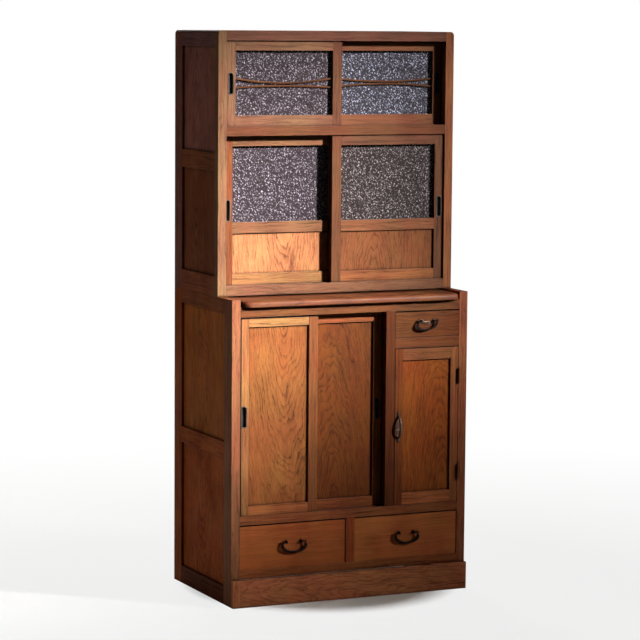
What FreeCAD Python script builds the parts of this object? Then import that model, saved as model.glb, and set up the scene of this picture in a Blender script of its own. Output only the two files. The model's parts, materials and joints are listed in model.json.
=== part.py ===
"""Mizuya kitchen cabinet: a glazed upper case standing on a deeper lower case.

Millimetres. +X is the viewer's right, -Y the front and +Z up. The origin is the middle of the
footprint, on the floor. Sizes holds the driving dimensions and Places what follows from them.
"""
import FreeCAD, Part
import os
import re

Vector = FreeCAD.Vector
Rotation = FreeCAD.Rotation

doc = FreeCAD.newDocument("MizuyaCabinet")
sizes = doc.addObject("Spreadsheet::Sheet", "Sizes")
places = doc.addObject("Spreadsheet::Sheet", "Places")

SIZES = {
    # Plan of the two cases
    "case_width": 800,
    "lower_depth": 470,
    "upper_depth": 355,
    "post_width": 28,
    "upper_post_depth": 28,
    "lower_post_depth": 60,
    "back_post_depth": 60,
    "top_corner_radius": 12,
    # Heights of the lower case, from the floor up
    "plinth_height": 85,
    "plinth_proud": 15,
    "plinth_edge_radius": 3,
    "plinth_end_width": 24,
    "base_rail_height": 27,
    "bottom_drawer_opening": 140,
    "lower_sill_height": 27,
    "base_door_opening": 610,
    "lower_head_height": 30,
    "serving_board_thickness": 19,
    "rim_height": 5,
    # Heights of the upper case, from the joint up
    "upper_sill_height": 31,
    "middle_door_opening": 457,
    "upper_middle_height": 29,
    "top_door_opening": 260,
    "upper_head_height": 30,
    # Side frames
    "side_panel_thickness": 8,
    "side_panel_setback": 8,
    "side_groove_depth": 6,
    "upper_side_top_rail": 48,
    "upper_side_middle_rail": 56,
    "upper_side_middle_height": 381,
    "upper_side_bottom_rail": 60,
    "lower_side_top_rail": 46,
    "lower_side_middle_rail": 51,
    "lower_side_middle_height": 453,
    "lower_side_bottom_rail": 56,
    # Right bay of the lower case
    "right_bay_width": 223,
    "center_post_width": 31,
    "small_drawer_opening": 84,
    "drawer_rail_height": 32,
    "drawer_divider_width": 28,
    "partition_thickness": 12,
    # Sliding doors and the grooves that they run in
    "door_thickness": 18,
    "door_setback": 6,
    "door_gap": 4,
    "track_clearance": 0.5,
    "track_lip": 6,
    "head_groove_depth": 9,
    "sill_groove_depth": 3,
    "lift_clearance": 4,
    "running_clearance": 0.3,
    "edge_clearance": 0.5,
    "upper_stile": 31,
    "top_door_top_rail": 30,
    "top_door_bottom_rail": 33,
    "middle_door_top_rail": 32,
    "middle_lock_rail": 34,
    "middle_panel_height": 124,
    "middle_door_bottom_rail": 34,
    "base_stile": 30,
    "base_door_rail": 31,
    "door_panel_thickness": 7,
    "door_panel_setback": 6,
    "door_groove_depth": 6,
    "groove_play": 0.5,
    "glass_thickness": 3,
    "glass_setback": 12,
    # Curved slats across the top doors
    "slat_height": 6,
    "slat_thickness": 6,
    "left_slat_spread": 28,
    "left_upper_slat_sag": 14,
    "left_lower_slat_rise": 5,
    "right_slat_spread": 25,
    "right_upper_slat_sag": 9,
    "right_lower_slat_rise": 9,
    # Recessed finger pulls
    "finger_pull_width": 20,
    "finger_pull_height": 70,
    "finger_pull_flange": 1,
    "finger_pull_rim": 2.5,
    "finger_pull_wall": 1,
    "finger_pull_depth": 8,
    # Hinged door, its butt hinges and its bow pull
    "hinged_door_clearance": 1,
    "hinged_door_setback": 1,
    "hinged_door_thickness": 20,
    "hinged_door_stile": 27,
    "hinged_door_rail": 38,
    "hinge_height": 47,
    "hinge_inset": 71,
    "hinge_barrel_radius": 3.6,
    "hinge_leaf_width": 15,
    "hinge_leaf_thickness": 1.5,
    "hinge_leaf_let_in": 1.1,
    "hinge_pin_radius": 1.6,
    "hinge_pin_clearance": 0.05,
    "hinge_knuckle_play": 0.3,
    "bow_reach": 21,
    "bow_height": 78,
    "bow_width": 8,
    "bow_thickness": 6,
    "bow_plate_width": 19,
    "bow_plate_height": 98,
    "bow_plate_thickness": 1.5,
    # Drawers
    "drawer_setback": 1,
    "drawer_front_thickness": 18,
    "drawer_side_clearance": 0.8,
    "drawer_top_clearance": 3,
    "drawer_side_thickness": 9,
    "drawer_side_drop": 10,
    "drawer_bottom_thickness": 6,
    "drawer_bottom_inset": 4,
    "drawer_back_clearance": 25,
    "runner_width": 34,
    "runner_height": 18,
    "guide_height": 20,
    # Drawer bails and their eye posts
    "bail_drop": 35,
    "bail_rise": 10,
    "bail_spacing": 50,
    "bail_tip_gap": 4,
    "small_bail_drop": 32,
    "small_bail_rise": 10,
    "small_bail_spacing": 45,
    "small_bail_tip_gap": 1,
    "bail_thickness": 5,
    "bail_pin_radius": 2,
    "bail_pin_play": 0.1,
    "bail_knob_radius": 3.2,
    "bail_knob_length": 4.4,
    "eye_radius": 4.5,
    "eye_width": 4,
    "eye_reach": 9,
    "rosette_radius": 5,
    "rosette_thickness": 1.5,
    "shank_radius": 2.2,
    "back_plate_width": 76,
    "back_plate_height": 10,
    "back_plate_droop": 9,
    # Boards, shelves, cleats and backs
    "serving_board_proud": 18,
    "serving_board_corner_radius": 36,
    "serving_board_upper_round": 10,
    "serving_board_lower_round": 3,
    "shelf_thickness": 12,
    "thin_board_thickness": 10,
    "top_board_thickness": 14,
    "top_board_inset": 2,
    "upper_shelf_height": 230,
    "base_shelf_height": 300,
    "hinged_shelf_height": 250,
    "cleat_width": 18,
    "cleat_height": 14,
    "back_rail_thickness": 20,
    "back_board_thickness": 8,
}

BACK_BOARDS = 4
KNUCKLE_SHARE = 1 / 3

# Shares of a bail's width and drop: the two ellipses that bound it, and where they meet
BAIL_OUTER_SHARES = {"half_width": 0.50, "half_height": 0.60, "centre": -0.40}
BAIL_INNER_SHARES = {"half_width": 0.40, "half_height": 0.64, "centre": -0.22}
BAIL_TIP_SHARE = 0.377

PLACES = {
    # Across
    "inner_x": "case_width / 2 - post_width",
    "right_bay_x": "inner_x - right_bay_width",
    "left_bay_x": "right_bay_x - center_post_width",
    "panel_outer_x": "case_width / 2 - side_panel_setback",
    "panel_inner_x": "panel_outer_x - side_panel_thickness",
    # Front to back
    "bow_front": "bow_reach - hinged_door_setback",
    "back_y": "(lower_depth + bow_front) / 2",
    "lower_front_y": "back_y - lower_depth",
    "upper_front_y": "back_y - upper_depth",
    "rail_depth": "door_setback + 2 * door_thickness + door_gap + track_lip",
    "lower_inside_y": "lower_front_y + rail_depth",
    "upper_inside_y": "upper_front_y + rail_depth",
    "back_inside_y": "back_y - back_rail_thickness",
    "back_post_y": "back_y - back_post_depth",
    "drawer_back_y": "back_inside_y - drawer_back_clearance",
    # Up the lower case
    "drawer_low_z": "plinth_height + base_rail_height",
    "sill_z": "drawer_low_z + bottom_drawer_opening",
    "door_low_z": "sill_z + lower_sill_height",
    "head_z": "door_low_z + base_door_opening",
    "serving_z": "head_z + lower_head_height",
    "serving_top_z": "serving_z + serving_board_thickness",
    "joint_z": "serving_top_z + rim_height",
    "dust_board_z": "serving_z - thin_board_thickness",
    "drawer_rail_top_z": "head_z - small_drawer_opening",
    "drawer_rail_z": "drawer_rail_top_z - drawer_rail_height",
    # Up the upper case
    "middle_low_z": "joint_z + upper_sill_height",
    "middle_high_z": "middle_low_z + middle_door_opening",
    "top_low_z": "middle_high_z + upper_middle_height",
    "top_high_z": "top_low_z + top_door_opening",
    "top_z": "top_high_z + upper_head_height",
    # Sliding door widths: a pair overlaps by one stile
    "upper_door_width": "inner_x - edge_clearance + upper_stile / 2",
    "base_door_width": "(inner_x + left_bay_x + base_stile) / 2 - edge_clearance",
    # Hinged door
    "hinge_edge_x": "inner_x - hinged_door_clearance",
    "hinge_x": "inner_x - hinged_door_clearance / 2",
    "hinge_y": "lower_front_y - hinge_barrel_radius - running_clearance",
    "hinged_face_y": "lower_front_y + hinged_door_setback",
    "hinged_low_z": "door_low_z + hinged_door_clearance",
    "hinged_high_z": "drawer_rail_z - hinged_door_clearance",
    "hinged_middle_z": "(door_low_z + drawer_rail_z) / 2",
    "bow_x": "right_bay_x + hinged_door_clearance + hinged_door_stile / 2",
    # Drawers
    "drawer_face_y": "lower_front_y + drawer_setback",
    "bail_y": "drawer_face_y - eye_reach",
    "bail_tip": "(bail_spacing + eye_width + bail_knob_length) / 2 + bail_tip_gap",
    "small_bail_tip": "(small_bail_spacing + eye_width + bail_knob_length) / 2 + small_bail_tip_gap",
}


def fill_sheets():
    """Put every size and place in its sheet: a label in column A, the cell itself in column B."""
    for row, (name, value) in enumerate(SIZES.items(), start=1):
        sizes.set(f"A{row}", name)
        sizes.set(f"B{row}", str(value))
        sizes.setAlias(f"B{row}", name)
    doc.recompute()
    for row, (name, text) in enumerate(PLACES.items(), start=1):
        places.set(f"A{row}", name)
        places.set(f"B{row}", "=" + on_sheets(text))
        places.setAlias(f"B{row}", name)
    doc.recompute()


def on_sheets(text):
    """Spell out which sheet each name of an expression stands on."""
    def spelled(match):
        word = match.group(0)
        if word in SIZES:
            return "Sizes." + word
        return "Places." + word if word in PLACES else word
    return re.sub(r"[a-z_]+", spelled, text)


def value(name):
    """The number that a size or place holds."""
    return float(getattr(sizes if name in SIZES else places, name))


def bind(thing, **expressions):
    """Tie properties to expressions; two underscores in a key stand for a dot."""
    for key, text in expressions.items():
        thing.setExpression(key.replace("__", "."), on_sheets(text))
    return thing


def plus(low, length):
    """A range that starts at low and is so long."""
    return low, f"{low} + {length}"


def minus(high, length):
    """A range that ends at high and is so long."""
    return f"{high} - ({length})", high


def mirrored(span):
    """The same range on the left of the middle plane."""
    return f"-({span[1]})", f"-({span[0]})"


def on_side(side, span):
    """A range written for the right, kept or mirrored."""
    return span if side == "right" else mirrored(span)


def box(label, x, y, z):
    """A board between two places on each axis."""
    board = doc.addObject("Part::Box", "Board")
    board.Label = label
    return set_box(board, x, y, z)


def set_box(board, x, y, z):
    return bind(board, Length=f"{x[1]} - ({x[0]})", Width=f"{y[1]} - ({y[0]})",
                Height=f"{z[1]} - ({z[0]})", Placement__Base__x=x[0],
                Placement__Base__y=y[0], Placement__Base__z=z[0])


def rounded_box(label, x, y, z, edges, radius):
    """A board with some of its edges rounded over."""
    body = doc.addObject("PartDesign::Body", "Body")
    body.Label = label
    block = body.newObject("PartDesign::AdditiveBox", "Block")
    bind(block, Length=f"{x[1]} - ({x[0]})", Width=f"{y[1]} - ({y[0]})",
         Height=f"{z[1]} - ({z[0]})")
    bind(body, Placement__Base__x=x[0], Placement__Base__y=y[0], Placement__Base__z=z[0])
    doc.recompute()
    round_over(body, block, edges, radius)
    return body


def round_over(body, base, edges, radius):
    rounding = body.newObject("PartDesign::Fillet", "Rounding")
    rounding.Base = (base, edges)
    bind(rounding, Radius=radius)
    return rounding


def cylinder(label, axis, radius, along, across, up):
    """A rod along X, Y or Z: its range on that axis, then its centre on the two others."""
    turns = {"x": Rotation(Vector(0, 1, 0), 90), "y": Rotation(Vector(1, 0, 0), -90),
             "z": Rotation()}
    starts = {"x": (along[0], across, up), "y": (across, along[0], up),
              "z": (across, up, along[0])}
    rod = doc.addObject("Part::Cylinder", "Rod")
    rod.Label = label
    rod.Placement = FreeCAD.Placement(Vector(), turns[axis])
    start = starts[axis]
    return bind(rod, Radius=radius, Height=f"{along[1]} - ({along[0]})",
                Placement__Base__x=start[0], Placement__Base__y=start[1],
                Placement__Base__z=start[2])


def cut(label, base, *tools):
    """The base with each tool taken out of it in turn."""
    for tool in tools:
        rest = doc.addObject("Part::Cut", "Cut")
        rest.Base, rest.Tool = base, tool
        base = rest
    base.Label = label
    return base


def fuse(label, *solids):
    whole = doc.addObject("Part::MultiFuse", "Fused")
    whole.Label = label
    whole.Shapes = list(solids)
    whole.Refine = True
    return whole


def extruded(label, edges, direction, place):
    """A flat outline of edges, extruded, set at a place on the sheets."""
    solid = doc.addObject("Part::Feature", "Shaped")
    solid.Label = label
    solid.Shape = Part.Face(Part.Wire(edges)).extrude(direction)
    return bind(solid, Placement__Base__x=place[0], Placement__Base__y=place[1],
                Placement__Base__z=place[2])


def arc_outline(there, back):
    """A closed outline of two arcs through three points each, with their ends joined."""
    edges = [Part.Arc(*there).toShape(), Part.Arc(*back).toShape()]
    for first, last in ((there[2], back[0]), (back[2], there[0])):
        if first.distanceToPoint(last) > 0:
            edges.append(Part.makeLine(first, last))
    return Part.__sortEdges__(edges)


nodes = []


def node(name, *solids):
    """One named sub-part: a single solid, or like pieces side by side."""
    whole = solids[0]
    if len(solids) > 1:
        whole = doc.addObject("Part::Compound", "Group")
        whole.Links = list(solids)
    whole.Label = name
    nodes.append(whole)
    return whole


SIDES = ("left", "right")
FULL_WIDTH = ("-inner_x", "inner_x")
RIGHT_POST = ("inner_x", "case_width / 2")
OUTER_TOP_EDGE = {"left": "Edge2", "right": "Edge6"}
FRONT_TOP_EDGE = "Edge10"
FRONT_UPRIGHT_EDGES = ["Edge1", "Edge5"]


def track_grooves(low_x, high_x, front_y, z):
    """The pair of grooves, front and back, that one rail offers to a pair of doors."""
    grooves = []
    for track in ("front", "back"):
        face = track_face(front_y, track)
        y = (f"{face} - track_clearance", f"{face} + door_thickness + track_clearance")
        grooves.append(box("Track " + track, (low_x, high_x), y, z))
    return grooves


def track_face(front_y, track):
    """Where the face of a door in the front or back track lies."""
    face = f"{front_y} + door_setback"
    return face if track == "front" else f"{face} + door_thickness + door_gap"


def side_frames(case, front_y, post_depth, low_z, high_z, rails, hinge_pockets=()):
    """Posts, rails and panels of one case; rails runs from the bottom to the top."""
    posts, rail_solids, panels = [], [], []
    front_post = plus(front_y, post_depth)
    back_post = ("back_post_y", "back_y")
    between = (front_post[1], back_post[0])
    for side in SIDES:
        x = on_side(side, RIGHT_POST)
        panel_x = on_side(side, ("panel_inner_x", "panel_outer_x"))
        grooves = []
        for lower, upper in zip(rails, rails[1:]):
            y = (f"{between[0]} - side_groove_depth", f"{between[1]} + side_groove_depth")
            z = (f"{lower[1]} - side_groove_depth", f"{upper[0]} + side_groove_depth")
            grooves.append(box(f"{case} {side} groove", panel_x, y, z))
            panel_y = (f"{y[0]} + groove_play", f"{y[1]} - groove_play")
            panel_z = (f"{z[0]} + groove_play", f"{z[1]} - groove_play")
            panels.append(box(f"{case} {side} panel", panel_x, panel_y, panel_z))
        for name, y in (("front", front_post), ("back", back_post)):
            label = f"{case} {side} {name} post"
            post = rounded_or_plain(label, x, y, (low_z, high_z), case, side)
            pockets = list(hinge_pockets) if (side, name) == ("right", "front") else []
            posts.append(cut(label, post, *grooves, *pockets))
        for number, z in enumerate(rails):
            top = number == len(rails) - 1
            label = f"{case} {side} rail {number + 1}"
            rail = rounded_or_plain(label, x, between, z, case if top else "", side)
            near = [groove for place, groove in enumerate(grooves) if number - place in (0, 1)]
            rail_solids.append(cut(label, rail, *near))
    node(f"{case}_posts", *posts)
    node(f"{case}_side_rails", *rail_solids)
    node(f"{case}_side_panels", *panels)


def rounded_or_plain(label, x, y, z, case, side):
    """A post or rail: the upper case's top outer corners are rounded over."""
    if case == "upper":
        return rounded_box(label, x, y, z, [OUTER_TOP_EDGE[side]], "top_corner_radius")
    return box(label, x, y, z)


def upper_case():
    side_frames("upper", "upper_front_y", "upper_post_depth", "joint_z", "top_z", [
        plus("joint_z", "upper_side_bottom_rail"),
        plus("joint_z + upper_side_middle_height", "upper_side_middle_rail"),
        minus("top_z", "upper_side_top_rail")])
    y = plus("upper_front_y", "rail_depth")
    wide = ("-inner_x", "inner_x", "upper_front_y")
    head = cut("Head rail", box("Head", FULL_WIDTH, y, ("top_high_z", "top_z")),
               *track_grooves(*wide, plus("top_high_z", "head_groove_depth")))
    middle = cut("Middle rail", box("Middle", FULL_WIDTH, y, ("middle_high_z", "top_low_z")),
                 *track_grooves(*wide, plus("middle_high_z", "head_groove_depth")),
                 *track_grooves(*wide, minus("top_low_z", "sill_groove_depth")))
    sill = cut("Sill rail", box("Sill", FULL_WIDTH, y, ("joint_z", "middle_low_z")),
               *track_grooves(*wide, minus("middle_low_z", "sill_groove_depth")))
    node("upper_front_rails", head, middle, sill)
    inside = ("upper_inside_y", "back_inside_y")
    top = minus("top_z - top_board_inset", "top_board_thickness")
    node("upper_top_board", box("Top board", FULL_WIDTH, inside, top))
    boards = [box("Upper " + name, FULL_WIDTH, inside, minus(level, "shelf_thickness"))
              for name, level in upper_shelf_levels()]
    node("upper_shelf_boards", *boards)


def upper_shelf_levels():
    return (("floor", "middle_low_z"), ("shelf", "middle_low_z + upper_shelf_height"),
            ("middle board", "top_low_z"))


def lower_case():
    side_frames("lower", "lower_front_y", "lower_post_depth", "0", "joint_z", [
        ("0", "lower_side_bottom_rail"),
        plus("lower_side_middle_height", "lower_side_middle_rail"),
        minus("joint_z", "lower_side_top_rail")],
        [hinge_pocket("case", place) for place in HINGE_PLACES])
    y = plus("lower_front_y", "rail_depth")
    left = ("-inner_x", "left_bay_x", "lower_front_y")
    head = cut("Head rail", box("Head", FULL_WIDTH, y, ("head_z", "serving_z")),
               *track_grooves(*left, plus("head_z", "head_groove_depth")))
    sill = cut("Sill rail", box("Sill", FULL_WIDTH, y, ("sill_z", "door_low_z")),
               *track_grooves(*left, minus("door_low_z", "sill_groove_depth")))
    right_bay = ("right_bay_x", "inner_x")
    drawer_rail = box("Drawer rail", right_bay, y, ("drawer_rail_z", "drawer_rail_top_z"))
    base_rail = box("Base rail", FULL_WIDTH, y, ("plinth_height", "drawer_low_z"))
    node("lower_front_rails", head, drawer_rail, sill, base_rail)
    node("lower_divider_posts",
         box("Centre post", ("left_bay_x", "right_bay_x"), y, ("door_low_z", "head_z")),
         box("Drawer divider", centred("drawer_divider_width"), y, ("drawer_low_z", "sill_z")))
    plinth_end = plus("-case_width / 2", "plinth_end_width")
    node("plinth_board", *[
        rounded_box(label, x, minus("lower_front_y", "plinth_proud"), ("0", "plinth_height"),
                    [FRONT_TOP_EDGE], "plinth_edge_radius")
        for label, x in (("Plinth", (plinth_end[1], "case_width / 2")), ("Plinth end", plinth_end))])
    inside = ("lower_inside_y", "back_inside_y")
    node("lower_top_board", box("Dust board", FULL_WIDTH, inside, ("dust_board_z", "serving_z")))
    partition = minus("right_bay_x", "partition_thickness")
    node("center_partition", box("Partition", partition, inside, ("door_low_z", "dust_board_z")))
    node("lower_shelf_boards",
         box("Lower floor", FULL_WIDTH, inside, minus("door_low_z", "shelf_thickness")),
         box("Base shelf", ("-inner_x", partition[0]), inside,
             minus("door_low_z + base_shelf_height", "shelf_thickness")),
         box("Hinged shelf", right_bay, inside,
             minus("door_low_z + hinged_shelf_height", "shelf_thickness")),
         box("Drawer shelf", right_bay, inside, minus("drawer_rail_top_z", "thin_board_thickness")))
    drawer_runners(inside)


def centred(width):
    return f"-{width} / 2", f"{width} / 2"


def drawer_runners(inside):
    """Bearers under the drawers, and the strips that keep the drawers straight."""
    runner_z = minus("drawer_low_z", "runner_height")
    guide_z = plus("drawer_low_z", "guide_height")
    between = ("lower_front_y + lower_post_depth", "back_post_y")
    strips = [box("Middle runner", centred("drawer_divider_width + runner_width"), inside, runner_z),
              box("Middle guide", centred("drawer_divider_width"), inside, guide_z)]
    for side in SIDES:
        bearing = on_side(side, minus("inner_x", "runner_width"))
        packing = on_side(side, ("inner_x", "panel_inner_x"))
        strips.append(box(side + " runner", bearing, inside, runner_z))
        strips.append(box(side + " guide", packing, between, guide_z))
    strips.append(box("Small drawer guide", ("inner_x", "panel_inner_x"), between,
                      plus("drawer_rail_top_z", "guide_height")))
    node("drawer_runners", *strips)


def cleats():
    """Strips on the side frames and the partition that the boards lie on."""
    strips = []

    def pair(label, left, right, y, underside):
        """Two cleats under a board, each in its own range across."""
        z = minus(underside, "cleat_height")
        strips.append(box(label + " left", left, y, z))
        strips.append(box(label + " right", right, y, z))

    on_rail = minus("inner_x", "cleat_width")
    on_panel = (on_rail[0], "panel_inner_x")
    on_rails = (mirrored(on_rail), on_rail)
    on_panels = (mirrored(on_panel), on_panel)
    upper = ("upper_inside_y", "back_post_y")
    pair("Top board cleat", *on_rails, upper, "top_z - top_board_inset - top_board_thickness")
    for name, level in upper_shelf_levels():
        pair(f"Upper {name} cleat", *(on_rails if name == "floor" else on_panels), upper,
             f"{level} - shelf_thickness")
    lower = ("lower_inside_y", "back_inside_y")
    partition_left = minus("right_bay_x - partition_thickness", "cleat_width")
    partition_right = plus("right_bay_x", "cleat_width")
    pair("Dust board cleat", *on_rails, lower, "dust_board_z")
    pair("Lower floor cleat", *on_rails, lower, "door_low_z - shelf_thickness")
    pair("Base shelf cleat", on_rails[0], partition_left, lower,
         "door_low_z + base_shelf_height - shelf_thickness")
    pair("Hinged shelf cleat", partition_right, on_rail, lower,
         "door_low_z + hinged_shelf_height - shelf_thickness")
    pair("Drawer shelf cleat", partition_right, on_rail, lower,
         "drawer_rail_top_z - thin_board_thickness")
    node("shelf_cleats", *strips)


def backs():
    """Rails between the back posts, with upright boards between the rails."""
    rails = [("plinth_height", "drawer_low_z"), ("sill_z", "door_low_z"), ("head_z", "joint_z"),
             ("joint_z", "middle_low_z"), ("middle_high_z", "top_low_z"), ("top_high_z", "top_z")]
    y = ("back_inside_y", "back_y")
    node("back_rails", *[box("Back rail", FULL_WIDTH, y, z) for z in rails])
    boards = []
    for lower, upper in zip(rails, rails[1:]):
        if lower[1] == upper[0]:
            continue
        for number in range(BACK_BOARDS):
            x = [f"-inner_x + 2 * inner_x * {place} / {BACK_BOARDS}"
                 for place in (number, number + 1)]
            boards.append(box("Back board", x, plus("back_inside_y", "back_board_thickness"),
                              (lower[1], upper[0])))
    node("back_boards", *boards)


def serving_board():
    """The board that pulls out between the cases, with a nose that is rounder above."""
    board = rounded_box("Serving board",
                        ("-inner_x + edge_clearance", "inner_x - edge_clearance"),
                        ("lower_front_y - serving_board_proud", "back_inside_y - edge_clearance"),
                        ("serving_z + running_clearance", "serving_top_z + running_clearance"),
                        FRONT_UPRIGHT_EDGES, "serving_board_corner_radius")
    reach = value("serving_board_corner_radius") + value("running_clearance")
    middle = value("serving_board_thickness") / 2
    for is_upper, radius in ((False, "serving_board_lower_round"),
                             (True, "serving_board_upper_round")):
        doc.recompute()
        base = board.Tip
        nose = [f"Edge{number}" for number, edge in enumerate(base.Shape.Edges, start=1)
                if edge.BoundBox.ZLength < value("running_clearance") and
                edge.BoundBox.YMax < reach and (edge.BoundBox.ZMin > middle) == is_upper]
        round_over(board, base, nose, radius)
    node("serving_board", board)


def finger_pull(name, side, low_x, high_x, stile, face, low_z, high_z):
    """A metal cup let into a door's outer stile; returns the pocket that it needs."""
    middle = f"{low_x} + {stile} / 2" if side == "left" else f"{high_x} - {stile} / 2"
    height = f"({low_z} + ({high_z})) / 2"
    rim = "finger_pull_rim"
    flange = slot_block(name + " flange", middle, height, "finger_pull_width",
                        "finger_pull_height", (f"{face} - finger_pull_flange", face))
    cup = slot_block(name + " cup", middle, height, f"finger_pull_width - 2 * {rim}",
                     f"finger_pull_height - 2 * {rim}", (face, f"{face} + finger_pull_depth"))
    wall = f"({rim} + finger_pull_wall)"
    hollow = slot_block(name + " hollow", middle, height, f"finger_pull_width - 2 * {wall}",
                        f"finger_pull_height - 2 * {wall}",
                        (f"{face} - finger_pull_flange",
                         f"{face} + finger_pull_depth - finger_pull_wall"))
    shell = fuse(name + " shell", flange, cup)
    return cut(name, shell, hollow), cup


def slot_block(label, x, z, width, height, y):
    """An upright block with round ends."""
    radius = f"({width}) / 2"
    reach = f"({height}) / 2 - {radius}"
    block = box(label + " block", (f"{x} - {radius}", f"{x} + {radius}"), y,
                (f"{z} - ({reach})", f"{z} + {reach}"))
    top = cylinder(label + " top", "y", radius, y, x, f"{z} + {reach}")
    bottom = cylinder(label + " bottom", "y", radius, y, x, f"{z} - ({reach})")
    return fuse(label, block, top, bottom)


def framed_door(name, x, z, face, thickness, stile, rails, fills, pull=None):
    """Stiles, rails and the grooves for what fills the frame.

    rails runs from the bottom to the top. fills gives, for each gap between rails, the name,
    thickness and setback of its panel or glass. Returns the frame's solids and the fills.
    """
    y = plus(face, thickness)
    low_x, high_x = x
    between = (f"{low_x} + {stile}", f"{high_x} - {stile}")
    grooves, filled = [], []
    for (lower, upper), (fill, fill_thickness, setback) in zip(zip(rails, rails[1:]), fills):
        fill_y = plus(f"{face} + {setback}", fill_thickness)
        groove_x = (f"{between[0]} - door_groove_depth", f"{between[1]} + door_groove_depth")
        groove_z = (f"{lower[1]} - door_groove_depth", f"{upper[0]} + door_groove_depth")
        grooves.append(box(f"{name} groove", groove_x, fill_y, groove_z))
        inner_x = (f"{groove_x[0]} + groove_play", f"{groove_x[1]} - groove_play")
        inner_z = (f"{groove_z[0]} + groove_play", f"{groove_z[1]} - groove_play")
        filled.append((f"{name}_{fill}", box(f"{name} {fill}", inner_x, fill_y, inner_z)))
    members = []
    for side, stile_x in (("left", plus(low_x, stile)), ("right", minus(high_x, stile))):
        tools = list(grooves)
        if pull and pull[0] == side:
            tools.append(pull[1])
        members.append(cut(f"{name} {side} stile", box(f"{name} {side}", stile_x, y, z), *tools))
    for number, rail_z in enumerate(rails):
        rail = box(f"{name} rail", between, y, rail_z)
        near = [groove for place, groove in enumerate(grooves) if number - place in (0, 1)]
        members.append(cut(f"{name} rail {number + 1}", rail, *near))
    return members, filled


def sliding_door(name, side, track, opening, front_y, width, stile, heights, fills):
    """One door of a pair, with its finger pull on its outer stile.

    opening is the hole that the pair closes. heights gives the bottom rail, then each fill's
    height and the rail above it, as they show; the top rail takes what is left.
    """
    low_x, high_x, low_z, high_z = opening
    if side == "left":
        x = plus(f"{low_x} + edge_clearance", width)
    else:
        x = minus(f"{high_x} - edge_clearance", width)
    z = (f"{low_z} - sill_groove_depth + running_clearance",
         f"{high_z} + head_groove_depth - lift_clearance")
    face = track_face(front_y, track)
    pull, pocket = finger_pull(f"{name} pull", side, *x, stile, face, low_z, high_z)
    rails = door_rails(z, low_z, high_z, heights)
    members, filled = framed_door(name, x, z, face, "door_thickness", stile, rails, fills,
                                  (side, pocket))
    node(f"{name}_frame", *members)
    for label, solid in filled:
        node(label, solid)
    if heights["slats"]:
        node(f"{name}_slats", *curved_slats(name, side, x, stile, face, rails))
    node(f"{name}_pull", pull)


def door_rails(z, low_z, high_z, heights):
    """The ranges of a door's rails, from the bottom to the top."""
    rails = [(z[0], f"{low_z} + {heights['bottom']}")]
    if heights["lock"]:
        rails.append(plus(f"{rails[0][1]} + {heights['panel']}", heights["lock"]))
    rails.append((f"{high_z} - {heights['top']}", z[1]))
    return rails


def curved_slats(name, side, x, stile, face, rails):
    """Two thin slats in front of the glass that bow towards each other.

    The outline's points are the ends and the middle of each long edge.
    """
    span = value("upper_door_width") - 2 * value("upper_stile")
    half = value("slat_height") / 2
    spread = value(f"{side}_slat_spread") / 2
    shapes = ((spread, spread - value(f"{side}_upper_slat_sag")),
              (-spread, value(f"{side}_lower_slat_rise") - spread))
    slats = []
    for ends, middle in shapes:
        upper = [Vector(0, 0, ends + half), Vector(span / 2, 0, middle + half),
                 Vector(span, 0, ends + half)]
        lower = [Vector(span, 0, ends - half), Vector(span / 2, 0, middle - half),
                 Vector(0, 0, ends - half)]
        slats.append(extruded(
            f"{name} slat", arc_outline(upper, lower), Vector(0, value("slat_thickness"), 0),
            (f"{x[0]} + {stile}", f"{face} + glass_setback - slat_thickness",
             f"({rails[0][1]} + {rails[-1][0]}) / 2")))
    return slats


def sliding_doors():
    """The three pairs: glazed top, half-glazed middle and panelled base."""
    glass = ("glass", "glass_thickness", "glass_setback")
    panel = ("panel", "door_panel_thickness", "door_panel_setback")
    wide = ("-inner_x", "inner_x")
    pairs = (
        ("top", "left", (*wide, "top_low_z", "top_high_z"), "upper_front_y",
         "upper_door_width", "upper_stile", [glass],
         {"bottom": "top_door_bottom_rail", "lock": "", "panel": "",
          "top": "top_door_top_rail", "slats": True}),
        ("middle", "right", (*wide, "middle_low_z", "middle_high_z"), "upper_front_y",
         "upper_door_width", "upper_stile", [panel, glass],
         {"bottom": "middle_door_bottom_rail", "lock": "middle_lock_rail",
          "panel": "middle_panel_height", "top": "middle_door_top_rail", "slats": False}),
        ("base", "left", ("-inner_x", "left_bay_x", "door_low_z", "head_z"), "lower_front_y",
         "base_door_width", "base_stile", [panel],
         {"bottom": "base_door_rail", "lock": "", "panel": "",
          "top": "base_door_rail", "slats": False}))
    for pair, in_front, opening, front_y, width, stile, fills, heights in pairs:
        for side in SIDES:
            track = "front" if side == in_front else "back"
            sliding_door(f"{pair}_{side}_door", side, track, opening, front_y, width, stile,
                         heights, fills)


HINGE_PLACES = {
    "upper": minus("drawer_rail_z - hinge_inset", "hinge_height"),
    "lower": plus("door_low_z + hinge_inset", "hinge_height"),
}


def leaf_x(part):
    """The thickness of a leaf, let into the door's edge or into the post."""
    if part == "door":
        return plus("hinge_edge_x - hinge_leaf_let_in", "hinge_leaf_thickness")
    return minus("inner_x + hinge_leaf_let_in", "hinge_leaf_thickness")


def hinge_pocket(part, place):
    """The shallow pocket that a leaf lies in."""
    y = ("lower_front_y", "hinge_y + hinge_leaf_width")
    return box(f"{part} {place} pocket", leaf_x(part), y, HINGE_PLACES[place])


def knuckle_ranges(place, part):
    """The case carries the two outer knuckles and the door the one between them."""
    low, high = HINGE_PLACES[place]
    third = f"hinge_height * {KNUCKLE_SHARE}"
    if part == "door":
        return [(f"{low} + {third} + hinge_knuckle_play / 2",
                 f"{high} - {third} - hinge_knuckle_play / 2")]
    return [(low, f"{low} + {third} - hinge_knuckle_play / 2"),
            (f"{high} - {third} + hinge_knuckle_play / 2", high)]


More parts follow.
